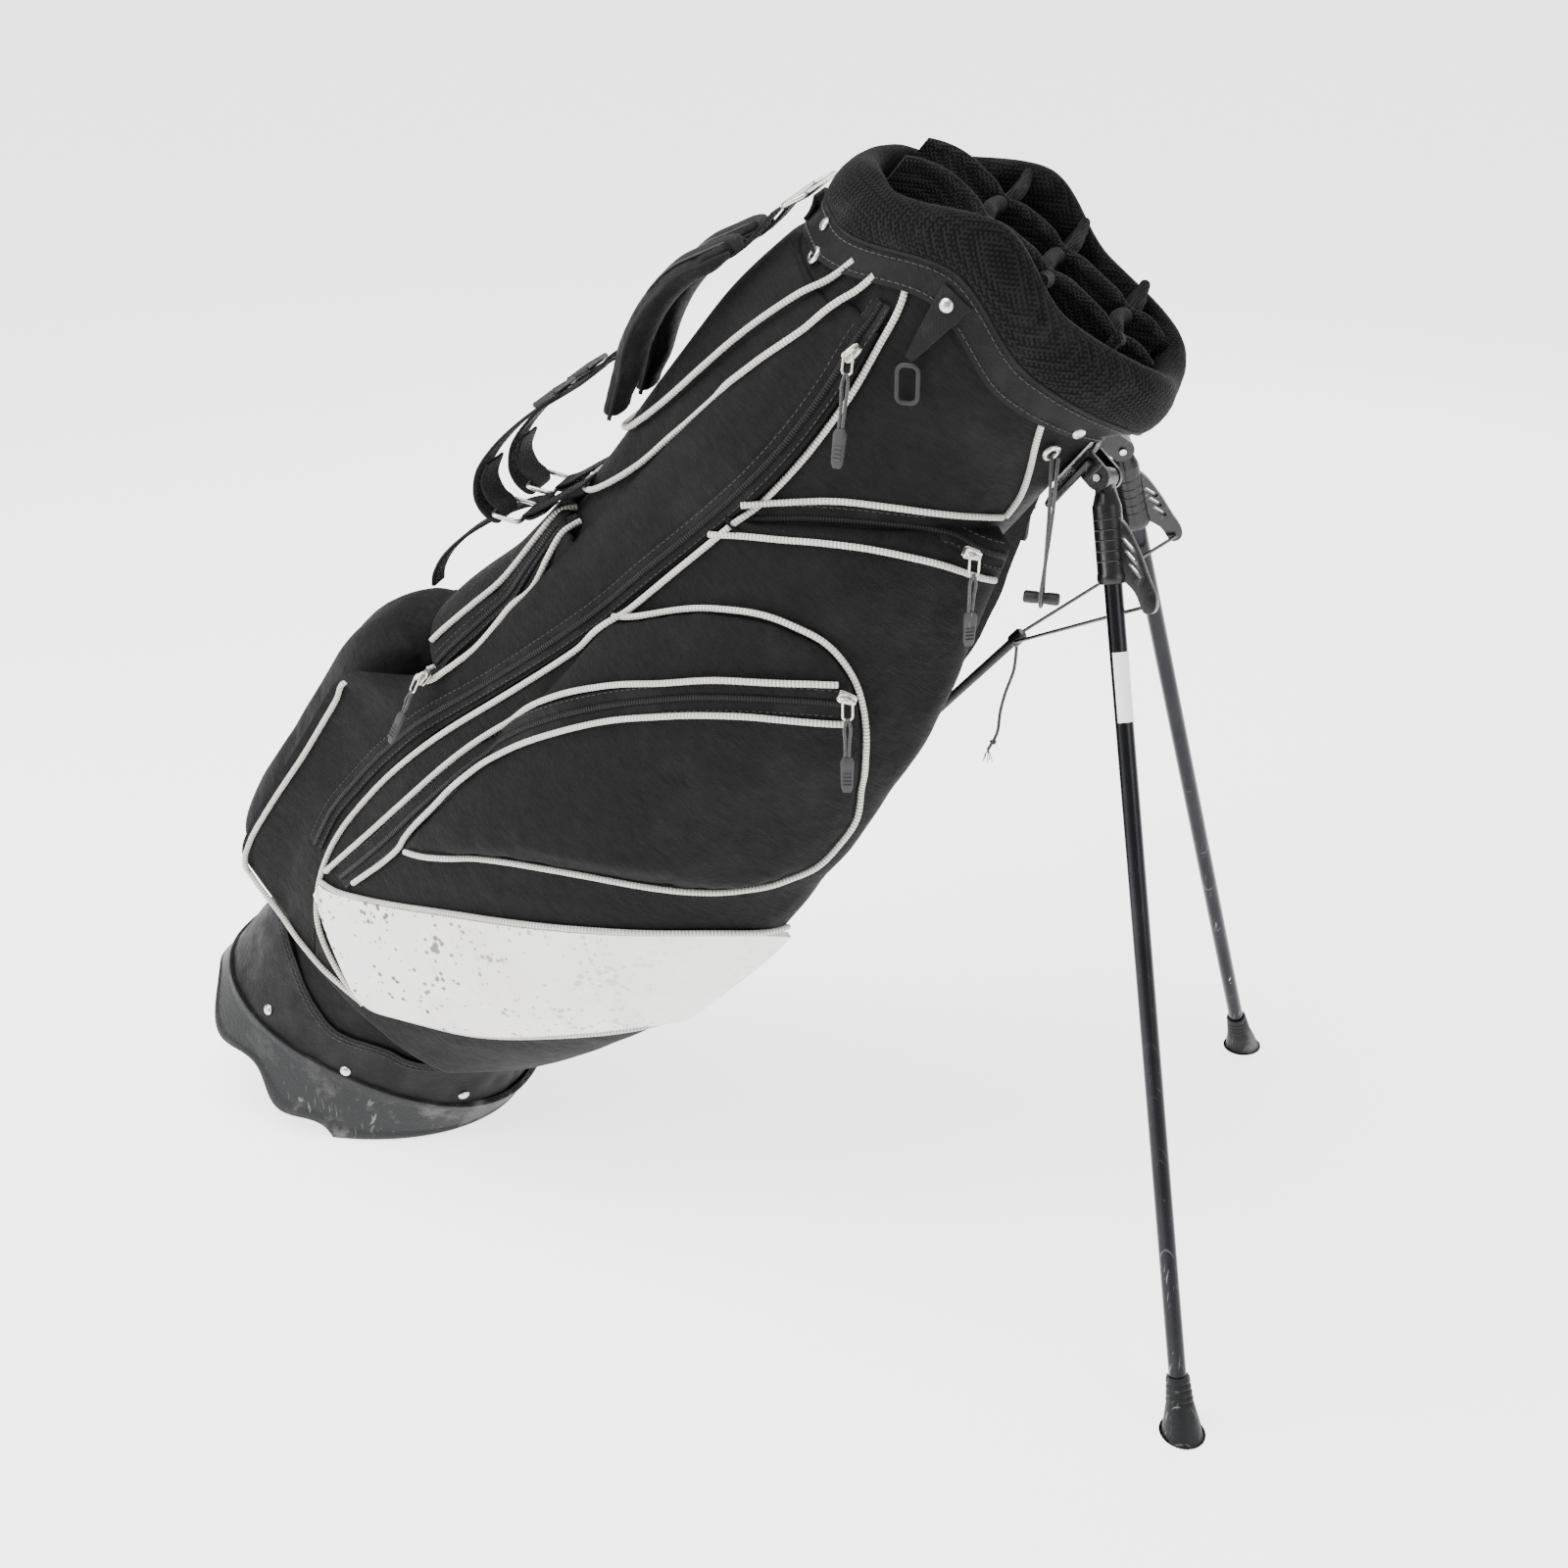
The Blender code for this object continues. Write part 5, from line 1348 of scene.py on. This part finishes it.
gather("eyelets", eyelets, nickel)


# Carrying straps: two arched foam pads in nylon, pleated along their inner edges and topped with a
# moulded ribbed grip, on 30 mm webbing that runs down through a three-bar slide to a wire ring.
STRAP_Y = 0.033
webbing, tree, shader = paint("webbing", 0.75, sheen=0.02, specular=0.16)
run = node(tree, "Attribute", {"attribute_name": "run"}).outputs["Fac"]
wide_way = node(tree, "Attribute", {"attribute_name": "across"}).outputs["Fac"]
pick = maths(tree, "SINE", maths(tree, "MULTIPLY", run, math.tau / 0.0016))
ends = maths(tree, "SINE", maths(tree, "MULTIPLY", wide_way, math.tau / 0.0028))
woven = maths(tree, "MULTIPLY", pick, ends)
lint = use(tree, dust, Amount=0.10, Scale=30.0).outputs["Mask"]
# The webbing's colour is painted shade from its weave: darker where the threads dip, lighter where they rise.
base = blend_colour(tree, span(tree, woven, -1.0, 1.0, 0.0, 1.0), shade(0.002), shade(0.008))
finish_skin(tree, shader, blend_colour(tree, lint, base, (0.20, 0.19, 0.18, 1)), None,
            maths(tree, "MULTIPLY_ADD", ends, 0.5, woven), 0.0006)


def route_at(route, y, per_span=8):
    """Smooth line through bag places (u, w) at a distance across."""
    return catmull([at(u, w, y) for u, w in route], per_span)


def strap(name, route, y, width, thick, nodes=(), per_span=8):
    """Woven band along bag places (u, w), which carries its own length and width for the weave."""
    points = route_at(route, y, per_span)
    shape = band_shape(width, thick)
    mesh = closed(name, *tube_parts(swept(points, shape, ACROSS)))
    corners = shape(0, 0)
    carry(mesh, "run", np.repeat(walked(points), len(corners)))
    carry(mesh, "across", [x for _ in points for x, _ in corners])
    keep(name, mesh, webbing, nodes=nodes)


PAD_ROUTE = ((0.808, -0.1620), (0.792, -0.1700), (0.768, -0.1810), (0.738, -0.1840), (0.708, -0.1790),
             (0.680, -0.1680), (0.655, -0.1580))
LOWER_WEB = ((0.690, -0.1845), (0.664, -0.1880), (0.634, -0.1980), (0.612, -0.2060), (0.580, -0.2120),
             (0.552, -0.2120), (0.5345, -0.2040), (0.5272, -0.1940), (0.5260, -0.1830), (0.5290, -0.1775),
             (0.5340, -0.1775), (0.5372, -0.1830), (0.5378, -0.1925), (0.5450, -0.2035), (0.5600, -0.2085))
UPPER_WEB = ((0.846, -0.1560), (0.833, -0.1570), (0.820, -0.1575), (0.806, -0.1595))
LOWER_TAB = ((0.600, -0.1440), (0.588, -0.1480), (0.572, -0.1540), (0.556, -0.1600), (0.546, -0.1655),
             (0.548, -0.1600), (0.560, -0.1545))
UPPER_TAB = ((0.846, -0.1396), (0.852, -0.1398), (0.858, -0.1412), (0.8635, -0.1438))
HANDLE = ((0.546, -0.1620), (0.530, -0.1740), (0.505, -0.1860), (0.478, -0.1950), (0.452, -0.1990),
          (0.434, -0.1970), (0.424, -0.1920))
PAD_WIDTH = 0.056
PAD_THICK = 0.016
pad_cloth = cloth_look("pad_nylon", 0.0018, 0.0050, 0.07, 0.04)


def scuffed(name, tones, scuff, scuff_tone, scales, shine, relief, **finish):
    """Moulded finish: mottled between two greys, finely scratched paler, and unevenly shiny."""
    look, tree, shader = paint(name, shine[0], **finish)
    places = places_of(tree)
    base = blend_colour(tree, speckle(tree, places, scales[0]), shade(tones[0]), shade(tones[1]))
    base = blend_colour(tree, use(tree, scratches, Amount=scuff).outputs["Mask"], base, shade(scuff_tone))
    pebbles, depth = relief
    height = use(tree, grain, Pebbles=pebbles).outputs["Height"] if pebbles else speckle(tree, places, 300.0, 3.0)
    shiny = span(tree, speckle(tree, places, scales[1]), scales[2], 0.7, *shine)
    finish_skin(tree, shader, base, shiny, height, depth)
    return look


grip_rubber = scuffed("grip_rubber", (0.012, 0.028), 0.5, 0.16, (60.0, 90.0, 0.3), (0.35, 0.55), (1100.0, 0.0002),
                      specular=0.3)


def pad_half(share):
    """Share of the pad's full width along it: narrower towards both ends."""
    return 0.72 + 0.28 * math.sin(math.pi * min(1.0, max(0.0, share * 1.25 - 0.05)))


def pad_shape(i, share):
    """Cut face of the pad: crowned, thin at its edges, narrower towards both ends, pleated on the inner side."""
    half = PAD_WIDTH / 2 * pad_half(share) * 0.97
    pleat = 0.0013 * math.sin(share * 95)
    corners = []
    for a in np.linspace(0, math.tau, 32, endpoint=False):
        x, z = math.cos(a), math.sin(a)
        crown = abs(z) ** 0.75 * (1 if z > 0 else -1)
        fold = pleat * max(0.0, -z) * abs(x) ** 2
        corners.append((x * half, crown * PAD_THICK / 2 * (0.62 + 0.38 * (1 - x * x)) * 0.95 + fold))
    return corners


HANDS = (("near", -1), ("far", 1))
for word, side in HANDS:
    y = STRAP_Y * side
    line = route_at(PAD_ROUTE, y, 10)
    last = len(line) - 1
    pad = tube(f"shoulder_pad_{word}_cloth", swept(line, pad_shape, ACROSS), pad_cloth,
               nodes=(f"shoulder_pad_{word}",), sharp=80)
    plump(pad, 0.004, 3.5, 0.0025)
    rims = []
    for shift in (-1, 1):
        edge = [p + ACROSS * shift * PAD_WIDTH / 2 * pad_half(i / last) * 0.985 for i, p in enumerate(line)]
        rims.append(tube_parts(swept(edge, round_shape(0.0016, 8))))
    gather(f"shoulder_pad_{word}_binding", rims, webbing)
    ribs = []
    outward = [(line[min(i + 1, last)] - line[max(i - 1, 0)]).cross(ACROSS).normalized() for i in range(len(line))]
    outward = [o if o.dot(TO_BELLY) < 0 else -o for o in outward]
    for i in range(4, 26):
        centre = line[i] + outward[i] * (PAD_THICK / 2 * 0.93)
        bar = [centre + ACROSS * 0.0155 * s - outward[i] * 0.0022 * abs(s) ** 3 for s in np.linspace(-1, 1, 9)]
        ribs.append(tube_parts(swept(bar, round_shape(0.00135, 8))))
    gather(f"shoulder_pad_{word}_grip", ribs, grip_rubber)
    base_line = [line[i] + outward[i] * (PAD_THICK / 2 * 0.86) for i in range(2, 29)]
    grip_base = oval_shape(lambda share: 0.0185 * (0.75 + 0.25 * math.sin(math.pi * share)), 0.0016, 20)
    tube(f"shoulder_pad_{word}_grip_base", swept(base_line, grip_base, ACROSS), grip_rubber)
    strap(f"lower_web_{word}_strap", LOWER_WEB, y, 0.030, 0.0022, (f"lower_web_{word}",))
    strap(f"upper_web_{word}", UPPER_WEB, y, 0.028, 0.0020)
    strap(f"lower_tab_{word}", LOWER_TAB, y, 0.028, 0.0020)
    slide_rows = []
    glide = at(0.6335, -0.2025, y)
    up_way = along(0.94, 0.34, 0).normalized()
    for shift in (-0.0085, 0.0, 0.0085):
        bar = [glide + up_way * shift + ACROSS * s for s in np.linspace(-0.0195, 0.0195, 9)]
        slide_rows.append(tube_parts(swept(bar, round_shape(0.0021 if shift else 0.0017, 10))))
    for s in (-0.0185, 0.0185):
        bar = [glide + up_way * shift + ACROSS * s for shift in np.linspace(-0.0095, 0.0095, 7)]
        slide_rows.append(tube_parts(swept(bar, round_shape(0.0022, 10))))
    gather(f"triglide_{word}_slide", slide_rows, toggle_black, nodes=(f"triglide_{word}",))
strap("upper_tab_strap", UPPER_TAB, 0.0, 0.030, 0.0025, ("upper_tab",))
strap("grab_handle_strap", HANDLE, 0.0, 0.020, 0.0030, ("grab_handle",), 10)

# Rings of the harness: bent nickel wire, one wide ring at the collar and two narrow ones lower down
UPPER_RING = (0.8595, -0.1505)
LOWER_RING = (0.538, -0.174)


def ring_path(centre, long_way, short_way, half_long, half_short, corner, count=16):
    """Rounded rectangle of wire as a closed line."""
    e = long_way.normalized()
    f = (short_way - e * short_way.dot(e)).normalized()
    r = corner * min(half_long, half_short)
    line = []
    for quarter, (sx, sy) in enumerate(((1, 1), (-1, 1), (-1, -1), (1, -1))):
        for step in range(count // 2 + 1):
            a = math.pi / 2 * (quarter + step / (count // 2))
            line.append(centre + e * (sx * (half_long - r) + math.cos(a) * r) + f * (
                sy * (half_short - r) + math.sin(a) * r))
    return line


def wire(name, path, radius, look, body, nodes):
    """Closed ring of round wire."""
    rings = swept(path, round_shape(radius, 14), closed_path=True)
    tube(name, rings, look, body, nodes, loop=True, sharp=80)


wire("upper_ring_wire", ring_path(at(*UPPER_RING, 0), ACROSS, along(0.91, 0.41, 0), 0.040, 0.0095, 0.45), 0.0020,
     nickel, "upper_ring", ("upper_ring",))
for word, side in HANDS:
    path = ring_path(at(*LOWER_RING, STRAP_Y * side), ACROSS, along(0.45, 0.89, 0), 0.0195, 0.0105, 0.45)
    wire(f"lower_ring_{word}_wire", path, 0.0018, nickel, f"lower_ring_{word}", (f"lower_ring_{word}",))

# Towel clip: a folded tab of webbing under the collar's rivet, narrowing to a moulded ring
TOWEL_TOP = (0.905, 75.0)
TOWEL_END = (0.853, 76.0)
towel_hang = polar(*TOWEL_END, body_r(*TOWEL_END) + 0.0062) + DOWN * 0.0165


def tab_place(t, s):
    """Triangular tab over the unit square."""
    u = TOWEL_TOP[0] + (TOWEL_END[0] - TOWEL_TOP[0]) * s
    return u, TOWEL_TOP[1] + (TOWEL_END[1] - TOWEL_TOP[1]) * s + (6.5 - 5.0 * s) * (2 * t - 1)


tab_cloth = cloth_look("tab_webbing", 0.002, 0.006, 0.08, 0.04, 0.0016)
slab("towel_tab_webbing", tab_place, lambda u, phi, t, s: body_r(u, phi) + 0.0042,
     lambda u, phi, t, s: body_r(u, phi) + 0.0062 + 0.0006 * edge_round(t) + 0.0010 * math.sin(math.pi * s),
     tab_cloth, 17, 25, ("towel_tab",))
wire("towel_ring_clip", ring_path(towel_hang, DOWN, Vector((1, 0, 0)), 0.0125, 0.0070, 0.7), 0.0017, toggle_black,
     "towel_ring", ("towel_ring",))

# Zip sliders and pulls: cast nickel sliders with a bail, and on each a doubled cord that ends in a
# moulded grey tip with four ridges. The pulls swing on their bails.
pull_grey = scuffed("grey_moulding", (0.022, 0.042), 0.6, 0.20, (120.0, 200.0, 0.3), (0.40, 0.56), (1400.0, 0.00015),
                    specular=0.22)


def block_parts(centre, e, f, g, size, taper=1.0, rounding=0.25):
    """Rounded block along three directions, narrower at its far end by taper."""
    points, faces = [], []
    rows = 9
    for i in range(rows):
        z = -1 + 2 * i / (rows - 1)
        end = max(0.0, (abs(z) - 0.7) / 0.3)
        inset = 1 - rounding * end ** 2
        scale = 1 + (taper - 1) * (z + 1) / 2
        for k in range(24):
            a = math.tau * k / 24
            c, s = math.cos(a), math.sin(a)
            square = (abs(c) ** 4 + abs(s) ** 4) ** -0.25
            points.append(centre + e * (z * size[0] / 2) + f * (c * square * size[1] / 2 * inset * scale)
                          + g * (s * square * size[2] / 2 * inset * scale))
    faces = strip_faces(rows, 24)
    faces.append(tuple(range(24)))
    faces.append(tuple((rows - 1) * 24 + k for k in range(24)))
    return points, faces


def zip_slider(name, u, phi, face_r, zip_way, pull_length, bodies, mirror=1, nodes=()):
    """Slider with its bail, and the corded pull that hangs from it."""
    step = 0.001
    place = polar(u, phi, face_r(u, phi))
    normal = (polar(u + step, phi, face_r(u + step, phi)) - place).cross(
        polar(u, phi + 1, face_r(u, phi + 1)) - place).normalized()
    if normal.y > 0:
        normal = -normal
    way = along(*zip_way)
    way = (way - normal * way.dot(normal)).normalized()
    cross = normal.cross(way)
    seat = place + normal * 0.0060
    drop = (DOWN - normal * DOWN.dot(normal)).normalized()
    drop = (drop + normal * 0.06).normalized()
    start = seat + normal * 0.0052

    def flip(parts):
        points, faces = parts
        return [Vector((p.x, p.y * mirror, p.z)) for p in points], faces
    slider = [flip(block_parts(seat + normal * 0.0012, way, cross, normal, (0.0128, 0.0086, 0.0022), 0.72)),
              flip(block_parts(seat - normal * 0.0016, way, cross, normal, (0.0128, 0.0086, 0.0018), 0.72)),
              flip(block_parts(seat, way, cross, normal, (0.0050, 0.0030, 0.0040), 1.0))]
    bail = [seat - way * 0.0048 + normal * 0.0022, seat - way * 0.0035 + normal * 0.0046,
            seat + normal * 0.0056, seat + way * 0.0038 + normal * 0.0044, seat + way * 0.0050 + normal * 0.0022]
    slider.append(flip(tube_parts(swept(catmull(bail, 4), round_shape(0.0010, 10)))))
    gather(f"slider_{name}", slider, nickel, bodies[0], nodes[:1])
    wide = drop.cross(normal).normalized()
    link = ring_path(start + drop * 0.0062, drop, wide, 0.0072, 0.0034, 0.8, 12)
    gather(f"pull_link_{name}", [flip(tube_parts(swept(link, round_shape(0.0009, 8), closed_path=True), True))],
           nickel, bodies[1])
    tip_start = start + drop * (pull_length - 0.026)
    loops = []
    for shift in (-1, 1):
        line = catmull([start + drop * 0.0125 + wide * shift * 0.0006,
                        start + drop * 0.0200 + wide * shift * 0.0021 + normal * 0.0006,
                        start + drop * (pull_length * 0.45) + wide * shift * 0.0015,
                        tip_start + drop * 0.003 + wide * shift * 0.0012], 8)
        loops.append(flip(tube_parts(swept(line, round_shape(0.00115, 9)))))
    gather(f"pull_cord_{name}", loops, elastic, bodies[1])
    middle = start + drop * (pull_length - 0.0130)
    tip = [flip(block_parts(middle, drop, wide, wide.cross(drop), (0.0255, 0.0098, 0.0048), 0.80, 0.35))]
    for k in range(4):
        notch = middle + drop * (-0.001 + 0.0027 * k)
        bar = [notch + wide * s + normal * 0.0024 for s in np.linspace(-0.0030, 0.0030, 5)]
        tip.append(flip(tube_parts(swept(bar, round_shape(0.00062, 6)))))
    gather(f"pull_tip_{name}", tip, pull_grey, bodies[1], nodes[1:])


ZIPS = (("garment", 0.832, 61.6, lambda u, phi: body_r(u, phi) + 0.008, (1, 0.10, 0), 0.074, "bag"),
        ("d_pocket", 0.660, 122.5, lambda u, phi: side_face(u, phi) + 0.0125, (0.35, 1, 0), 0.066, "bag"),
        ("side_pocket", 0.781, 131.0, lambda u, phi: side_face(u, phi) + 0.004, (0.30, 1, -0.2), 0.066, "bag"),
        ("spine_pocket", 0.414, 33.3, lambda u, phi: body_r(u, phi) + 0.036, (1, 0.05, 0), 0.056, "spine_slider"))
for name, u, phi, face_r, zip_way, pull_length, body in ZIPS:
    zip_slider(name, u, phi, face_r, zip_way, pull_length, (body, f"pull_{name}"),
               nodes=(f"zip_slider_{name}", f"zip_pull_{name}"))
    if name in ("garment", "side_pocket"):
        zip_slider(f"{name}_far", u, phi, face_r, zip_way, pull_length, ("bag", "bag"), mirror=-1)


# Stand: two dark anodised aluminium legs on moulded yokes, pinned to a moulded head on the belly. As
# the bag tips up, a rod through the belly channel pulls the yokes' arms by two wires and folds the legs.
PIVOT = (0.859, 0.126, 0.039)
FOOT_CENTRE = (0.446, 0.614, 0.249)
TUBE_R = 0.00635
SLEEVE_R = 0.0100
BARREL_HALF = 0.0070
glossy_black = scuffed("glossy_moulding", (0.003, 0.006), 0.45, 0.14, (70.0, 90.0, 0.35), (0.20, 0.40), (0, 0.0002),
                       coat=0.12, coat_rough=0.2, specular=0.3)

leg_paint, tree, shader = paint("leg_anodising", 0.30, metal=1.0)
places = places_of(tree)
lower = span(tree, height_of(tree, places), 0.05, 0.30, 1.0, 0.10)
drawn = node(tree, "Mapping", None, Vector=places, Scale=(130.0, 130.0, 38.0))
chips = span(tree, speckle(tree, drawn.outputs["Vector"], 1.0, 5.0, 0.75), 0.67, 0.71, 0.0, 1.0)
bare = maths(tree, "MULTIPLY", maths(tree, "MAXIMUM", chips, use(tree, scratches, Amount=0.3).outputs["Mask"]), lower)
base = blend_colour(tree, speckle(tree, places, 25.0), (0.012, 0.012, 0.0135, 1), (0.028, 0.028, 0.031, 1))
finish_skin(tree, shader, blend_colour(tree, bare, base, (0.55, 0.54, 0.52, 1)),
            span(tree, bare, 0.0, 1.0, 0.27, 0.46), speckle(tree, places, 500.0, 3.0), 0.00005)

dark_steel, tree, shader = paint("dark_steel_wire", 0.35, metal=1.0)
places = places_of(tree)
finish_skin(tree, shader, blend_colour(tree, speckle(tree, places, 300.0, 4.0), shade(0.05), shade(0.16, 1.08)),
            span(tree, speckle(tree, places, 160.0), 0.3, 0.7, 0.26, 0.52))
label_paper = flecked("blank_label", 0.55, 60.0, (0.76, 0.76, 0.75, 1), (0.86, 0.86, 0.85, 1))


def leg_frame(side):
    """Pivot, leg direction, outward direction across the leg, hinge axis and length of one leg (side -1 is near)."""
    pivot = at(PIVOT[0], PIVOT[1], PIVOT[2] * side)
    foot = at(FOOT_CENTRE[0], FOOT_CENTRE[1], FOOT_CENTRE[2] * side)
    leg = (foot - pivot).normalized()
    folded = -UP_BAG
    sweep = (leg - folded * leg.dot(folded)).normalized()
    axis = folded.cross(sweep).normalized() * side
    out = (-folded - leg * leg.dot(-folded)).normalized()
    return pivot, leg, out, axis, (foot - pivot).length


def slab_of(outline, origin, e, f, half, holes=()):
    """Flat plate of an outline with round edges and slots, as a mesh made by bmesh."""
    bm = bmesh.new()
    g = e.cross(f).normalized()
    edges = []
    for loop in (outline, *holes):
        verts = [bm.verts.new(origin + e * x + f * z - g * half) for x, z in loop]
        edges += [bm.edges.new((a, b)) for a, b in zip(verts, verts[1:] + verts[:1])]
    flat = bmesh.ops.triangle_fill(bm, use_beauty=True, use_dissolve=False, edges=edges)
    faces = [item for item in flat["geom"] if isinstance(item, bmesh.types.BMFace)]
    grown = bmesh.ops.extrude_face_region(bm, geom=faces)
    moved = [item for item in grown["geom"] if isinstance(item, bmesh.types.BMVert)]
    bmesh.ops.translate(bm, vec=g * half * 2, verts=moved)
    bmesh.ops.recalc_face_normals(bm, faces=bm.faces)
    rim = [edge for edge in bm.edges if len(edge.link_faces) == 2 and edge.calc_face_angle(0) > 1.2]
    bmesh.ops.bevel(bm, geom=rim, offset=0.0007, segments=2, affect="EDGES", profile=0.6, clamp_overlap=True)
    return bm


def capsule(x0, z0, x1, z1, r):
    """Outline of a slot with round ends."""
    way = math.atan2(z1 - z0, x1 - x0)
    ends = []
    for (x, z), start in (((x1, z1), way - math.pi / 2), ((x0, z0), way + math.pi / 2)):
        for k in range(7):
            a = start + math.pi * k / 6
            ends.append((x + r * math.cos(a), z + r * math.sin(a)))
    return ends


def add_parts(bm, parts):
    """Adds closed parts to a mesh under construction."""
    points, faces = parts
    verts = [bm.verts.new(p) for p in points]
    for face in faces:
        bm.faces.new([verts[i] for i in face])


FIN = ((0.030, 0.004), (0.030, 0.011), (0.049, 0.020), (0.070, 0.0265), (0.084, 0.0310), (0.0925, 0.0290),
       (0.0925, 0.0215), (0.078, 0.0160), (0.0655, 0.0040))
FOOT_GROOVE = ((-0.0365, 0.0088), (-0.0352, 0.0080), (-0.0340, 0.0088))
ON_GROUND = 0.0002
fin_line = [(p.x, p.y) for p in catmull([Vector((x, z, 0)) for x, z in FIN], 4)]
for word, side in HANDS:
    body = f"leg_{word}"
    pivot, leg, out, axis, length = leg_frame(side)
    bm = slab_of(fin_line, pivot, leg, out, 0.0029,
                 [capsule(x0, z0, x0 + 0.0075, z0 + 0.0062, 0.0013)
                  for x0, z0 in ((0.0425, 0.0112), (0.0515, 0.0128), (0.0605, 0.0146))])
    barrel = [(-BARREL_HALF, 0.0062), (-BARREL_HALF + 0.0010, 0.0078), (BARREL_HALF - 0.0010, 0.0078),
              (BARREL_HALF, 0.0062)]
    add_parts(bm, tube_parts(turned_rings(pivot, axis, barrel, 32)))
    sleeve = [(0.0050, 0.0055), (0.0120, 0.0078), (0.0170, 0.0092), (0.0195, SLEEVE_R), (0.0640, SLEEVE_R),
              (0.0652, 0.0105), (0.0690, 0.0105), (0.0715, 0.0094), (0.0720, 0.0066)]
    add_parts(bm, tube_parts(turned_rings(pivot, leg, sleeve, 36)))
    for k in range(5):
        rib_at = 0.028 + 0.007 * k
        rib = [(rib_at - 0.0009, SLEEVE_R - 0.0003), (rib_at, SLEEVE_R + 0.00035),
               (rib_at + 0.0009, SLEEVE_R - 0.0003)]
        add_parts(bm, tube_parts(turned_rings(pivot, leg, rib, 36)))
    add_parts(bm, block_parts(pivot + leg * 0.011, leg, out, axis, (0.022, 0.0125, BARREL_HALF * 2 - 0.001)))
    mesh = bpy.data.meshes.new(f"leg_yoke_{word}_moulding")
    bm.to_mesh(mesh)
    bm.free()
    keep(f"leg_yoke_{word}_moulding", mesh, glossy_black, body, (f"leg_yoke_{word}",), sharp=35)
    metal = [(z, TUBE_R) for z in (0.060, 0.30, 0.62, length - 0.018)]
    tube(f"leg_tube_{word}_metal", turned_rings(pivot, leg, metal, 40), leg_paint, body,
         (f"leg_tube_{word}",))
    foot_shape = [(-0.0405, TUBE_R + 0.0004), (-0.0402, 0.0080), (-0.0385, 0.0086)]
    for k in range(4):
        foot_shape += [(z + 0.0045 * k, r + 0.0004 * k) for z, r in FOOT_GROOVE]
    foot_shape += [(-0.0150, 0.0112), (-0.006, 0.0131), (0.004, 0.0143), (0.010, 0.0149), (0.030, 0.0163)]
    rings = turned_rings(pivot, leg, [(length + z, r) for z, r in foot_shape], 40)
    rings = [[p if p.z >= ON_GROUND else p - leg * ((p.z - ON_GROUND) / leg.z) for p in ring] for ring in rings]
    tube(f"foot_{word}_rubber", rings, rubber, body, (f"foot_{word}",), sharp=35)
label_pivot, label_leg = leg_frame(-1)[:2]
label_way = Vector((0.62, -0.78, 0.10))
label_way = (label_way - label_leg * label_way.dot(label_leg)).normalized()
label_rings = []
for z in np.linspace(0.118, 0.166, 9):
    arc = []
    for lift, start in ((0.00025, -1.25), (0.00005, 1.25)):
        for a in np.linspace(start, -start, 13):
            way = label_way * math.cos(a) + label_leg.cross(label_way) * math.sin(a)
            arc.append(label_pivot + label_leg * z + way * (TUBE_R + lift))
    label_rings.append(arc)
tube("blank_leg_label", label_rings, label_paper, "leg_near")


# Solids whose shape is right take a better material
for look, slot, solids in ((glossy_black, "moulding", ("mouth_frame", "stand_head", "release_head", "rod_guide")),
                           (toggle_black, "moulding", ("stay_near", "stay_far", "release_rod")),
                           (nickel, "steel", ("pivot_pin_near", "pivot_pin_far")),
                           (dark_steel, "steel", ("release_wire_near", "release_wire_far"))):
    for solid in solids:
        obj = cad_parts[solid]
        obj.data.materials.clear()
        obj.data.materials.append(look)
